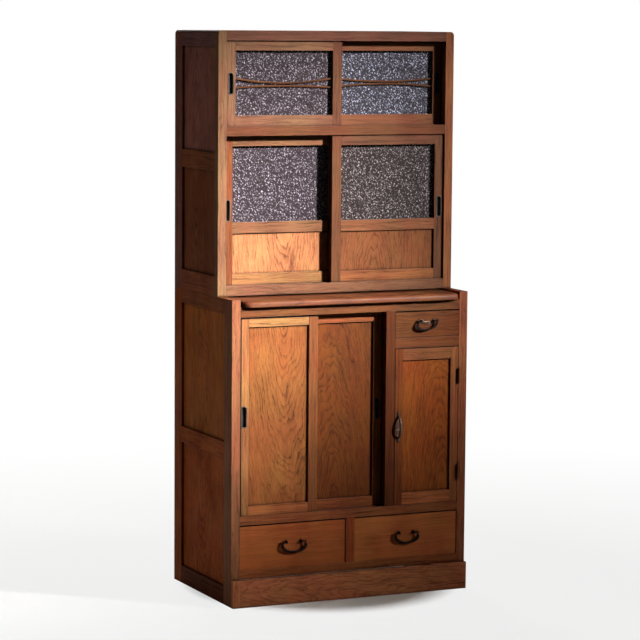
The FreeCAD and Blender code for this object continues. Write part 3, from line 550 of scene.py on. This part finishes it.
def slats(side):
    """Two thin bars that bow: height = middle + rise * (share of the half span) squared."""
    node = f"top_{side}_door_slats"
    low, high = box_of(node)
    share = np.linspace(-1, 1, 41)
    x = (low[0] + high[0]) / 2 + share * (high[0] - low[0]) / 2
    y = np.full(x.shape, (low[1] + high[1]) / 2)
    middle_z = sum(corner[2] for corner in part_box(f"top_{side}_door_glass")) / 2
    grids = []
    for ends, middle in SLAT_BENDS[side]:
        z = middle_z + (middle + (ends - middle) * share ** 2) * MM
        upper = np.stack([x, y, z + SLAT_HALF], axis=1)
        lower = np.stack([x, y, z - SLAT_HALF], axis=1)
        grids.append(crescent(upper, lower, SLAT_HALF, 1, 0.5))
    mesh = shell(node, *grids)
    points = points_of(mesh)
    # Cut 3 m up the trunk and well beside its pith, so that the rings run straight
    store(mesh, "grain", points[:, [0, 2, 1]] + np.array([3, -middle_z + 0.09, 0.3]))
    store(mesh, "tone", np.tile(stains_and_light_of(node)[0], (len(points), 1)))
    store(mesh, "seam", painted_shade_depths(points, node))
    store(mesh, "worn", np.zeros(len(mesh.polygons)))
    return mesh


# Finger pulls ---------------

# From the middle of the recess round the rim to the middle of the back: inset from the rim and
# depth from the door's face, in millimetres
PULL_PROFILE = ((10, 7), (4.4, 7), (3.8, 6.7), (3.5, 6), (3.5, -0.3), (3.2, -0.8), (2.6, -1),
                (0.9, -1), (0.3, -0.75), (0, -0.3), (0, 0), (2.5, 0), (2.5, 7.4), (3.1, 8), (10, 8))
HALF_OVAL = 13


def finger_pull(node):
    """A cup with round ends: the profile carried round a long oval made of two half circles.

    Point = end centre + (half width - inset) * (cos a, sin a), at the profile's depth.
    """
    low, high = box_of(node)
    centre, half = (low + high) / 2, (high - low) / 2
    inset, depth = np.array(PULL_PROFILE).T[:, :, None] * MM
    angle = np.concatenate([np.linspace(0, math.pi, HALF_OVAL),
                            np.linspace(math.pi, 2 * math.pi, HALF_OVAL)])
    reach = np.repeat((1, -1), HALF_OVAL) * (half[2] - half[0])
    grid = np.empty((len(inset), len(angle), 3))
    grid[..., 0] = centre[0] + (half[0] - inset) * np.cos(angle)
    grid[..., 1] = low[1] + MM + depth
    grid[..., 2] = centre[2] + (half[0] - inset) * np.sin(angle) + reach
    mesh = shell(node, grid)
    points = points_of(mesh)
    store(mesh, "recess", np.clip((points[:, 1] - low[1] - 0.6 * MM) / MM, 0, 1))
    return mesh


# Bow pull -------------------

# Half span and rise, in millimetres, of the bow's outer and inner edge and of the plate's side
BOW_ARCS, LEAF_ARC = ((39, 19.5), (33, 13.5)), (49, 9.5)
# From the plate's middle over its rim to its back: share of the outline, and height in millimetres
LEAF_PROFILE = ((0, 1.5), (0.5, 1.5), (0.86, 1.5), (0.96, 1.2), (1, 0.6), (1, 0), (0, 0))
BOSS_PROFILE = ((0, -1.6), (1.2, -1.6), (1.9, -2.8), (3.2, -3.1), (4.4, -2.5), (5, -1.4),
                (5, -0.2), (0, -0.2))
BOSS_HEIGHT = 43.5


def arc(half_span, rise, share):
    """A circle's arc through its two ends and its crown.

    Radius = (half span squared + rise squared) / twice the rise. Along = radius * sin and
    out = rise - radius * (1 - cos) of the share of the half angle.
    """
    radius = (half_span ** 2 + rise ** 2) / (2 * rise)
    angle = share * math.atan2(half_span, radius - rise)
    return radius * np.sin(angle), rise - radius * (1 - np.cos(angle))


def bow_pull(node):
    """A leaf-shaped plate, a bow that is widest in its middle, and a nailed boss at each end."""
    low, high = box_of(node)
    middle_x, middle_z = (low[0] + high[0]) / 2, (low[2] + high[2]) / 2
    face = high[1]
    share = np.linspace(-1, 1, 33)
    curves = []
    for half_span, rise in BOW_ARCS:
        along, out = arc(half_span, rise, share)
        curves.append(np.stack([np.full(share.shape, middle_x), face - (1.5 + out) * MM,
                                middle_z + along * MM], axis=1))
    width = (2.4 + 1.6 * np.cos(share * math.pi / 2) ** 0.7) * MM
    bow = crescent(curves[0], curves[1], width, 0, 0.8)
    side_z, side_x = arc(*LEAF_ARC, np.linspace(-1, 1, 25))
    outline = np.concatenate([np.stack([side_x, side_z], axis=1)[:-1],
                              np.stack([-side_x, -side_z], axis=1)[:-1]]) * MM
    scale, depth = np.array(LEAF_PROFILE).T[:, :, None]
    plate = np.empty((len(scale), len(outline), 3))
    plate[..., 0] = middle_x + outline[:, 0] * scale
    plate[..., 1] = face - depth * MM
    plate[..., 2] = middle_z + outline[:, 1] * scale
    bosses = [lathe(BOSS_PROFILE, (middle_x, face, middle_z + height * MM), 1)
              for height in (-BOSS_HEIGHT, BOSS_HEIGHT)]
    return shell(node, plate, bow, *bosses)


# Bails ----------------------

# Millimetres: the distance between the eyes, from the middle to a tip, the drop, and how far the
# bail hangs to the left
BAILS = {
    "left_drawer": dict(spacing=50, tip=33.2, drop=35, lean=0),
    "right_drawer": dict(spacing=50, tip=33.2, drop=35, lean=0),
    "small_drawer": dict(spacing=45, tip=27.7, drop=32, lean=14),
}
JOINTS = {joint["name"]: joint for joint in frame["record"]["behaviour"]["joints"]}
# From a bail's middle to its tip, as a share of its whole width
TIP_SHARE = 0.377
# Its outer and inner edge: half width as a share of its width, half height and centre as shares of
# its drop, and the turn from its lowest point to a tip in degrees
BAIL_OVALS = ((0.50, 0.60, -0.40, 131.1), (0.40, 0.61, -0.205, 109.6))
# Radius and distance along the axis, in millimetres
KNOB_PROFILE = ((0, -2.2), (2.2, -2.2), (3.0, -1.7), (3.2, -0.8), (3.2, 0.8), (3.0, 1.7),
                (2.2, 2.2), (0, 2.2))
ROSETTE_PROFILE = ((0, -2.4), (2, -2.3), (3.6, -1.9), (4.6, -1.2), (5, 0), (0, 0))
SHANK_PROFILE = ((0, -6.2), (1.8, -6.2), (2.2, -5.6), (2.2, 18), (0, 18))
PIN_RADIUS = 1.9


def bail(place, spacing, tip, drop, lean):
    """A crescent between two ovals, with a curl, a knob and a pin at each tip.

    Each edge is half width * sin a across and centre - half height * cos a up, for a from one
    tip to the other. The curl is a spiral: radius falls along the turn.
    """
    x, y, z = place
    share = np.sin(np.linspace(-1, 1, 49) * math.pi / 2)
    width = tip / TIP_SHARE
    edges = []
    for half_width, half_height, centre, turn in BAIL_OVALS:
        angle = np.radians(turn) * share
        down = centre - half_height * np.cos(angle)
        across = half_width * width * np.sin(angle) + lean * np.minimum(down, 0)
        edges.append(np.stack([x + across, np.full(share.shape, y), z + down * drop],
                              axis=1) * MM)
    depth = (1.3 + 1.2 * np.cos(share * math.pi / 2)) * MM
    grids = [crescent(edges[0], edges[1], depth, 1, 0.75)]
    for side in (-1, 1):
        grids.append(lathe(KNOB_PROFILE, np.array([x + side * tip, y, z]) * MM, 0))
        start, end = sorted((side * tip, side * (spacing / 2 - 2.4)))
        grids.append(lathe([(0, start), (PIN_RADIUS, start), (PIN_RADIUS, end), (0, end)],
                           np.array([x, y, z]) * MM, 0))
        turn = np.linspace(-0.5, 1.15, 19) * math.pi
        size = np.linspace(1, 0.45, 19) * drop * 0.12
        middle = np.stack([x + side * (tip + 1 + drop * 0.09 + size * np.cos(turn)),
                           np.full(turn.shape, y), z + size * np.sin(turn)], axis=1) * MM
        outward = np.stack([side * np.cos(turn), np.zeros(turn.shape), np.sin(turn)], axis=1)
        thick = np.linspace(2.0, 1.0, 19)[:, None] * drop / 46 * MM
        grids.append(crescent(middle + outward * thick, middle - outward * thick,
                              thick[:, 0], 1, 1.0))
    return grids


def eye_posts(place, front, spacing, plated):
    """Two eyes on shanks, each through a domed rosette, and a curved back plate if plated."""
    x, y, z = place
    grids = []
    for middle in (x - spacing / 2, x + spacing / 2):
        face = np.array([middle, front, z]) * MM
        grids.append(lathe(ROSETTE_PROFILE, face, 1))
        grids.append(lathe(SHANK_PROFILE, face, 1))
        grids.append(ring(np.array([middle, y, z]) * MM, 3.3, 1.2, 2, 0))
    if plated:
        share = np.linspace(-1, 1, 33)
        edges = []
        for crown in (6, 16):
            across, out = arc(38, crown, share)
            edges.append(np.stack([x + across, np.full(share.shape, front - 0.75),
                                   z + 3 - out], axis=1) * MM)
        grids.append(crescent(edges[0], edges[1], 0.75 * MM, 1, 0.5))
    return grids


# Materials ------------------

def feed(node, inputs):
    """Give a node's inputs their values or other nodes' outputs."""
    for name, source in inputs.items():
        if isinstance(source, bpy.types.NodeSocket):
            node.id_data.links.new(source, node.inputs[name])
        else:
            node.inputs[name].default_value = source


def add_node(tree, kind, *sources, out=0, stops=(), **settings):
    """Add a node with its settings; sources feed its first inputs, or a dictionary names them."""
    new = tree.nodes.new("ShaderNode" + kind)
    for name, setting in settings.items():
        setattr(new, name, setting)
    named = bool(sources) and isinstance(sources[0], dict)
    feed(new, sources[0] if named else dict(enumerate(sources)))
    for number, (position, shade_) in enumerate(stops):
        if number >= len(new.color_ramp.elements):
            new.color_ramp.elements.new(position)
        element = new.color_ramp.elements[number]
        element.position, element.color = position, shade_
    return new.outputs[out]


def grey(level):
    return (level, level, level, 1)


def blank(name):
    """A new material, what adds nodes to it, and its surface shader."""
    material = bpy.data.materials.new(name)
    material.use_nodes = True
    tree = material.node_tree
    return material, functools.partial(add_node, tree), tree.nodes["Principled BSDF"]


# The name of each wood, which of the chosen colours it takes, and what it has of its own
WOODS = {
    "frame_wood": ("stained_elm_straight", "frame", dict(streaks=1.1)),
    "panel_wood": ("stained_elm_figured", "panel", dict(rings=0.55, streaks=0.9)),
    "plain_wood": ("stained_elm_plain", "panel", dict(rings=0.22, streaks=0.6, fibres=0.5)),
    "inside_wood": ("bare_softwood", "inside", dict(roughness=0.75, specular=0.04)),
    "serving_wood": ("handled_elm", "serving", dict(roughness=0.5, specular=0.14)),
}


def timber(name, colours, looks, rings=0.5, streaks=0.5, fibres=0.9, roughness=0.58,
           specular=0.08):
    """Wood cut from a tree that has its pith on the grain attribute's first axis.

    Ring-porous wood: each ring starts with a band of open pores that takes the stain darkly and
    fades into paler late wood. The eye gets arches or straight lines from where the board lies.
    """
    material, add, surface = blank(name)
    pale, dark = (tuple(getattr(looks, f"{colours}_{end}")) for end in ("pale", "dark"))
    grain, tone, seam = (add("Attribute", attribute_name=field, out="Vector")
                         for field in ("grain", "tone", "seam"))
    worn = add("Attribute", attribute_name="worn", out="Fac")
    places = add("TexCoord", out="Object")
    # Noise stretched to the inverse of these lengths in metres, with its detail
    noise = {}
    for pattern, (source, scale, detail) in {
            "bend": (grain, (6, 19, 19), 2), "ripple": (grain, (22, 70, 70), 2),
            "rag": (grain, (70, 330, 330), 2), "pore": (grain, (80, 900, 900), 1),
            "fibre": (grain, (9, 260, 260), 3), "streak": (grain, (5, 75, 75), 2),
            "rub": (grain, (25, 60, 60), 2), "blotch": (places, (9, 9, 6), 3),
            "hue": (places, (11, 11, 8), 2)}.items():
        stretched = add("VectorMath", source, scale, operation="MULTIPLY")
        noise[pattern] = add("TexNoise", {"Vector": stretched, "Scale": 1, "Detail": detail})
    # The same noise, moved to swing about zero
    swing = {pattern: add("Math", noise[pattern], 0.5, operation="SUBTRACT")
             for pattern in ("bend", "ripple", "rag", "fibre", "streak", "blotch")}

    spoke = add("VectorMath", grain, (0, 1, 1), operation="MULTIPLY")
    radius = add("VectorMath", spoke, out="Value", operation="LENGTH")
    # The trunk isn't round: bends 160 mm long and 50 mm wide move the rings by a few mm, and
    # smaller ones make the lines uneven
    for pattern, reach in (("bend", 0.034), ("ripple", 0.006), ("rag", 0.0016)):
        radius = add("Math", swing[pattern], reach, radius, operation="MULTIPLY_ADD")
    years = add("Math", radius, looks.ring_width, operation="DIVIDE")
    uneven = add("TexNoise", {"W": years, "Scale": 0.45, "Detail": 1}, noise_dimensions="1D")
    years = add("Math", uneven, 1.6, years, operation="MULTIPLY_ADD")
    season = add("Math", years, operation="FRACT")
    band = add("ValToRGB", season, stops=(
        (0.0, grey(0.9)), (0.10, grey(0.80)), (0.26, grey(0.36)), (0.55, grey(0.08)),
        (0.86, grey(0.10)), (1.0, grey(0.9))))
    year = add("Math", years, operation="FLOOR")
    vigour = add("TexWhiteNoise", {"W": year}, noise_dimensions="1D")
    vigour = add("Math", vigour, 0.6, 0.4, operation="MULTIPLY_ADD")
    line = add("Math", band, vigour, operation="MULTIPLY")
    # Pores are 0.3 mm wide; they are drawn 1 mm wide and 12 mm long, so that they show
    pore = add("ValToRGB", noise["pore"], stops=((0.50, grey(0)), (0.66, grey(1))))
    crowd = add("Math", band, 0.7, 0.3, operation="MULTIPLY_ADD")
    pore = add("Math", pore, crowd, operation="MULTIPLY")

    depth = 0.12
    for source, share in ((line, rings), (pore, 0.35 * rings + 0.1), (swing["fibre"], fibres),
                          (swing["blotch"], 0.9), (swing["streak"], streaks)):
        depth = add("Math", source, share, depth, operation="MULTIPLY_ADD")
    between = tuple(light * 0.55 + deep * 0.45 for light, deep in zip(pale, dark))
    stain = add("ValToRGB", depth, stops=((0.0, pale), (0.5, between), (1.0, dark)))
    rubbed = add("ValToRGB", noise["rub"], stops=((0.40, grey(0)), (0.62, grey(0.65))))
    # Open edges are rubbed bare where ambient occlusion finds them open; the same occlusion paints
    # shade into corners and gaps further down
    air = add("AmbientOcclusion", {"Distance": 9 * MM}, out="AO", samples=5)
    edge = add("Math", air, 5.0, operation="POWER")
    edge = add("Math", edge, worn, operation="MULTIPLY")
    edge = add("Math", rubbed, edge, operation="MULTIPLY")
    bare = add("Mix", {0: edge, 6: stain, 7: tuple(looks.worn_edge)}, out=2, data_type="RGBA")
    # Stain took redder in some places and yellower in others, each about 100 mm wide
    hue = add("ValToRGB", noise["hue"], stops=(
        (0.38, (1.0, 0.90, 0.90, 1)), (0.62, (1.0, 1.08, 0.98, 1))))
    # Painted light: the stain factor also carries how strongly light falls on each board
    toned = add("VectorMath", bare, tone, operation="MULTIPLY")
    toned = add("VectorMath", toned, hue, operation="MULTIPLY")
    # Painted shade, with some grime: ambient occlusion darkens corners, gaps and recesses down to
    # 0.12
    shade_and_grime = add("MapRange", {"Value": air, "From Min": 0.35, "From Max": 0.95,
                             "To Min": 0.12, "To Max": 1.0})
    # Painted shade: inside the black edges the colour falls to 0.06, near black, for the shade in
    # gaps and the shadow of rails and stiles
    first, second, third = (add("SeparateXYZ", seam, out=axis) for axis in "XYZ")
    inside = add("Math", second, third, operation="MINIMUM")
    inside = add("Math", first, inside, operation="MINIMUM")
    gap_shade = add("MapRange", {"Value": inside, "From Min": 0.0, "From Max": 0.8 * MM,
                           "To Min": 0.06, "To Max": 1.0})
    shade_and_grime = add("Math", shade_and_grime, gap_shade, operation="MULTIPLY")
    left = add("VectorMath", {0: toned, "Scale": shade_and_grime}, operation="SCALE")

    dull = add("Math", line, 0.14, roughness, operation="MULTIPLY_ADD")
    dull = add("Math", swing["blotch"], 0.35, dull, operation="MULTIPLY_ADD")
    groove = add("Math", line, -0.5, operation="MULTIPLY")
    pit = add("Math", pore, -0.7, operation="MULTIPLY")
    relief = add("Math", groove, pit, operation="ADD")
    relief = add("Math", swing["fibre"], 0.5, relief, operation="MULTIPLY_ADD")
    bump = add("Bump", {"Height": relief, "Strength": 0.6, "Distance": 0.12 * MM})
    feed(surface, {"Base Color": left, "Roughness": dull, "Normal": bump,
                   "Specular IOR Level": specular})
    return material


def pebbled_glass(looks):
    """Rolled obscure glass: an opaque dark pane that paints the shaded inside, whose pebbles each
    carry a painted spark of light.
    """
    material, add, surface = blank("pebbled_obscure_glass")
    glint = add("Attribute", attribute_name="glint", out="Fac")
    tone = add("Attribute", attribute_name="tone", out="Vector")
    # Without a painted glint the ramp is read at 0.265, a little below the pane's own colour
    place = add("Math", glint, 0.40, 0.265, operation="MULTIPLY_ADD")
    body = add("ValToRGB", place, stops=(
        (0.0, grey(0.006)), (0.40, tuple(looks.glass_body)), (1.0, tuple(looks.glass_painted_glint))))
    toned = add("VectorMath", body, tone, operation="MULTIPLY")
    feed(surface, {"Base Color": toned, "Roughness": 0.12, "IOR": 1.5})
    return material


def iron(name, dark, bare, share, metallic=0.0, roughness=0.75, specular=0.05):
    """Forged iron, blackened in the fire: a mottled skin that hands have rubbed in places."""
    material, add, surface = blank(name)
    places = add("TexCoord", out="Object")
    patch = add("TexNoise", {"Vector": places, "Scale": 140, "Detail": 3})
    rubbed = add("ValToRGB", patch, stops=((0.56 - share, grey(0)), (0.90 - share, grey(1))))
    skin = add("Mix", {0: rubbed, 6: tuple(dark), 7: tuple(bare)}, out=2, data_type="RGBA")
    rough = add("Math", rubbed, -0.1, roughness, operation="MULTIPLY_ADD")
    pit = add("TexNoise", {"Vector": places, "Scale": 420, "Detail": 2})
    bump = add("Bump", {"Height": pit, "Strength": 0.5, "Distance": 0.2 * MM})
    feed(surface, {"Base Color": skin, "Roughness": rough, "Normal": bump,
                   "Metallic": metallic, "Specular IOR Level": specular})
    return material


def dulled_metal(looks):
    """Pressed sheet metal gone dull, and near black at the bottom of the recess."""
    material, add, surface = blank("dulled_pull_metal")
    recess = add("Attribute", attribute_name="recess", out="Fac")
    places = add("TexCoord", out="Object")
    patch = add("TexNoise", {"Vector": places, "Scale": 180, "Detail": 3})
    spots = add("ValToRGB", patch, stops=((0.42, grey(0)), (0.68, grey(0.6))))
    darkened = add("Math", spots, recess, operation="MAXIMUM")
    skin = add("Mix", {0: darkened, 6: tuple(looks.pull_rim), 7: tuple(looks.pull_recess)}, out=2,
               data_type="RGBA")
    rough = add("Math", darkened, 0.35, 0.4, operation="MULTIPLY_ADD")
    shine = add("Math", recess, -0.6, 0.6, operation="MULTIPLY_ADD")
    feed(surface, {"Base Color": skin, "Roughness": rough, "Metallic": shine})
    return material


# Operators ------------------

class CABINET_OT_timber(bpy.types.Operator):
    """Boards of the cases, doors and drawers, with eased edges and a grain each"""
    bl_idname = "cabinet.timber"
    bl_label = "Boards"

    def execute(self, context):
        looks = context.scene.cabinet
        finishes = {slot: timber(name, colours, looks, **own)
                    for slot, (name, colours, own) in WOODS.items()}
        for node, slot in SLOTS.items():
            if slot in finishes and not node.endswith("_slats"):
                board_piece(node, looks.eased_edge,
                            finishes["plain_wood" if node in PLAIN else slot])
        return {"FINISHED"}


class CABINET_OT_slats(bpy.types.Operator):
    """Curved slats across the top doors"""
    bl_idname = "cabinet.slats"
    bl_label = "Curved slats"

    def execute(self, context):
        for side in ("left", "right"):
            piece(slats(side), f"top_{side}_door_slats", "bent",
                  bpy.data.materials["stained_elm_straight"])
        return {"FINISHED"}


class CABINET_OT_glass(bpy.types.Operator):
    """Pebbled panes of the upper doors"""
    bl_idname = "cabinet.glass"
    bl_label = "Glass"

    def execute(self, context):
        looks = context.scene.cabinet
        material = pebbled_glass(looks)
        for node, slot in SLOTS.items():
            if slot == "obscure_glass":
                piece(pane(node, looks), node, "pebbled", material)
        return {"FINISHED"}


class CABINET_OT_pulls(bpy.types.Operator):
    """Recessed finger pulls of the sliding doors and the bow pull of the hinged door"""
    bl_idname = "cabinet.pulls"
    bl_label = "Pulls"

    def execute(self, context):
        looks = context.scene.cabinet
        metal = dulled_metal(looks)
        for node, slot in SLOTS.items():
            if slot == "pull_metal":
                piece(finger_pull(node), node, "cup", metal)
        piece(bow_pull("hinged_door_pull"), "hinged_door_pull", "bow",
              iron("rubbed_iron", looks.iron_worn, looks.iron_bare, 0.03, metallic=0.2,
                   roughness=0.5, specular=0.2))
        return {"FINISHED"}


class CABINET_OT_bails(bpy.types.Operator):
    """Bails and eye posts of the drawers"""
    bl_idname = "cabinet.bails"
    bl_label = "Bails"

    def execute(self, context):
        looks = context.scene.cabinet
        black = iron("blackened_iron", looks.iron_black, looks.iron_worn, 0.0)
        worn = iron("worn_iron", looks.iron_worn, looks.iron_bare, 0.2, metallic=0.8,
                    roughness=0.36, specular=0.3)
        for drawer, sizes in BAILS.items():
            place = [distance / MM for distance in JOINTS[f"{drawer}_bail_swing"]["pos_m"]]
            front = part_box(f"{drawer}_front")[0][1] / MM
            piece(shell(drawer, *bail(place, **sizes)), f"{drawer}_bail", "crescent", black)
            plated = drawer == "small_drawer"
            piece(shell(drawer, *eye_posts(place, front, sizes["spacing"], plated)),
                  f"{drawer}_eye_posts", "eyes", worn if plated else black)
        return {"FINISHED"}


class CABINET_OT_hinges(bpy.types.Operator):
    """Iron for the butt hinges, whose shapes stay as the frame has them"""
    bl_idname = "cabinet.hinges"
    bl_label = "Hinges"

    def execute(self, context):
        looks = context.scene.cabinet
        stained = iron("stained_iron", looks.hinge_brown, looks.iron_worn, 0.05)
        for node, metal in (("case_hinge_leaves", stained), ("hinged_door_hinge_leaves", stained),
                            ("hinge_pins", bpy.data.materials["blackened_iron"])):
            for holder in frame["nodes"][node].material_slots:
                holder.material = metal
        return {"FINISHED"}


# Where the photograph was taken from, in metres and degrees
CAMERA_PLACE = (-3.50807, -7.61606, 1.77818)
CAMERA_YAW, CAMERA_PITCH, CAMERA_ROLL = 24.70, 6.353, 0.457
CAMERA_LENS, SENSOR_WIDTH = 150.613, 36.0
# The key light stands to the right of the front and above it, in degrees
KEY_SIDE, KEY_HEIGHT, KEY_DISTANCE = 48.0, 23.0, 12.0
KEY_SPREAD, KEY_TARGET = 14.0, Vector((-0.42, -0.2, 1.08))
# Beside it is a lamp that throws a pool of light on the left of the front
POOL_SPREAD, POOL_TARGET = 4.8, Vector((-0.57, -0.2, 1.0))
# Two more lamps stand where they reach only the back, and only the left side
BACK_PLACE, BACK_TARGET, BACK_SIZE = Vector((0.8, 4.6, 2.2)), Vector((0, 0.25, 0.9)), 1.5
LEFT_PLACE, LEFT_TARGET, LEFT_SIZE = Vector((-4.4, 1.0, 1.5)), Vector((-0.4, 0, 0.9)), 1.2
ALL_ROUND = 180.0
FLOOR_REACH = 40


def towards(side, height):
    """A unit vector that leaves the front, turned to the right by side and up by height."""
    side, height = math.radians(side), math.radians(height)
    return Vector((math.sin(side) * math.cos(height), -math.cos(side) * math.cos(height),
                   math.sin(height)))


def camera_turn():
    """The camera's axes: forward from yaw and pitch, then right and up turned by the roll."""
    yaw, pitch, roll = (math.radians(angle) for angle in (CAMERA_YAW, CAMERA_PITCH, CAMERA_ROLL))
    forward = Vector((math.sin(yaw) * math.cos(pitch), math.cos(yaw) * math.cos(pitch),
                      -math.sin(pitch)))
    right = Vector((math.cos(yaw), -math.sin(yaw), 0))
    up = right.cross(forward)
    right, up = (right * math.cos(roll) + up * math.sin(roll),
                 up * math.cos(roll) - right * math.sin(roll))
    return Matrix((right, up, -forward)).transposed()


def pale_floor(looks):
    """Matt studio floor. The camera sees it mostly white, less so near the object, where the shadow
    shows, and not at all white in a disc round the object's middle, which paints a dark shadow
    wider than the cabinet is deep."""
    material, add, surface = blank("pale_studio_floor")
    material.node_tree.nodes.remove(surface)
    seen = add("LightPath", out="Is Camera Ray")
    places = add("TexCoord", out="Object")
    away = add("VectorMath", places, out="Value", operation="LENGTH")
    share = add("MapRange", {"Value": away, "From Min": 1.0, "From Max": 3.0,
                             "To Min": 0.82, "To Max": 1.0})
    # Painted shadow: no white within 0.34 m of the middle, fading in by 0.44 m, a dark disc that
    # reaches past the cabinet's front and back
    painted_shadow_disc = add("MapRange", {"Value": away, "From Min": 0.34, "From Max": 0.44})
    share = add("Math", share, painted_shadow_disc, operation="MULTIPLY")
    share = add("Math", share, seen, operation="MULTIPLY")
    matt = add("BsdfDiffuse", {"Color": tuple(looks.floor_tint)})
    white = add("Emission", {"Color": grey(1), "Strength": 1.0})
    mixed = add("MixShader", share, matt, white)
    feed(material.node_tree.nodes["Material Output"], {"Surface": mixed})
    return material


def studio_world(looks):
    """Soft grey fill from all round, which the camera sees as white."""
    world = bpy.data.worlds.new("studio")
    world.use_nodes = True
    add = functools.partial(add_node, world.node_tree)
    seen = add("LightPath", out="Is Camera Ray")
    fill = add("Background", {"Color": grey(1), "Strength": looks.fill_level})
    white = add("Background", {"Color": grey(1), "Strength": 1.0})
    mixed = add("MixShader", seen, fill, white)
    feed(world.node_tree.nodes["World Output"], {"Surface": mixed})
    return world


class CABINET_OT_stage(bpy.types.Operator):
    """Floor, light, world and camera"""
    bl_idname = "cabinet.stage"
    bl_label = "Stage"

    def execute(self, context):
        looks = context.scene.cabinet
        mesh = bpy.data.meshes.new("floor")
        side = np.linspace(-FLOOR_REACH, FLOOR_REACH, 9)
        x, y = np.meshgrid(side, side)
        index = np.arange(x.size).reshape(x.shape)
        quads = np.stack([index[:-1, :-1], index[:-1, 1:], index[1:, 1:], index[1:, :-1]], axis=2)
        mesh.from_pydata(np.stack([x, y, np.zeros(x.shape)], axis=2).reshape(-1, 3), [],
                         quads.reshape(-1, 4).tolist())
        mesh.materials.append(pale_floor(looks))
        floor = put("floor", mesh)
        floor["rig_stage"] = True

        key_place = KEY_TARGET + towards(KEY_SIDE, KEY_HEIGHT) * KEY_DISTANCE
        lamps = (("key", looks.key_power, looks.key_size, KEY_SPREAD, KEY_TARGET, key_place),
                 ("pool", looks.pool_power, looks.key_size, POOL_SPREAD, POOL_TARGET, key_place),
                 ("back", looks.back_power, BACK_SIZE, ALL_ROUND, BACK_TARGET, BACK_PLACE),
                 ("left", looks.left_power, LEFT_SIZE, ALL_ROUND, LEFT_TARGET, LEFT_PLACE))
        for name, watts, size, spread, target, place in lamps:
            lamp = bpy.data.lights.new(name, "AREA")
            lamp.energy, lamp.size, lamp.spread = watts, size, math.radians(spread)
            put(name, lamp, place, (place - target).to_track_quat("Z", "Y"))
        context.scene.world = studio_world(looks)

        lens = bpy.data.cameras.new("camera")
        lens.lens, lens.sensor_width = CAMERA_LENS, SENSOR_WIDTH
        context.scene.camera = put("camera", lens, Vector(CAMERA_PLACE),
                                   camera_turn().to_quaternion())
        context.scene.view_settings.view_transform = "Standard"
        return {"FINISHED"}


STEPS = (CABINET_OT_timber, CABINET_OT_slats, CABINET_OT_glass, CABINET_OT_pulls,
         CABINET_OT_bails, CABINET_OT_hinges, CABINET_OT_stage)


class CABINET_PT_sidebar(bpy.types.Panel):
    """Lists the steps that dress the cabinet"""
    bl_idname = "CABINET_PT_sidebar"
    bl_label = "Mizuya cabinet"
    bl_space_type = "VIEW_3D"
    bl_region_type = "UI"
    bl_category = "Cabinet"

    def draw(self, context):
        for step in STEPS:
            self.layout.operator(step.bl_idname)
        for name in CabinetLooks.__annotations__:
            self.layout.prop(context.scene.cabinet, name)


def register():
    for part in (CabinetLooks, *STEPS, CABINET_PT_sidebar):
        bpy.utils.register_class(part)
    bpy.types.Scene.cabinet = bpy.props.PointerProperty(type=CabinetLooks)


def unregister():
    del bpy.types.Scene.cabinet
    for part in reversed((CabinetLooks, *STEPS, CABINET_PT_sidebar)):
        bpy.utils.unregister_class(part)


def main():
    register()
    for step in STEPS:
        getattr(bpy.ops.cabinet, step.bl_idname.split(".")[1])()
    boxes = {"cad": CAD_BOX, "visual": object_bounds()}
    {name: [list(corner) for corner in box] for name, box in boxes.items()}


if __name__ == "__main__":
    main()
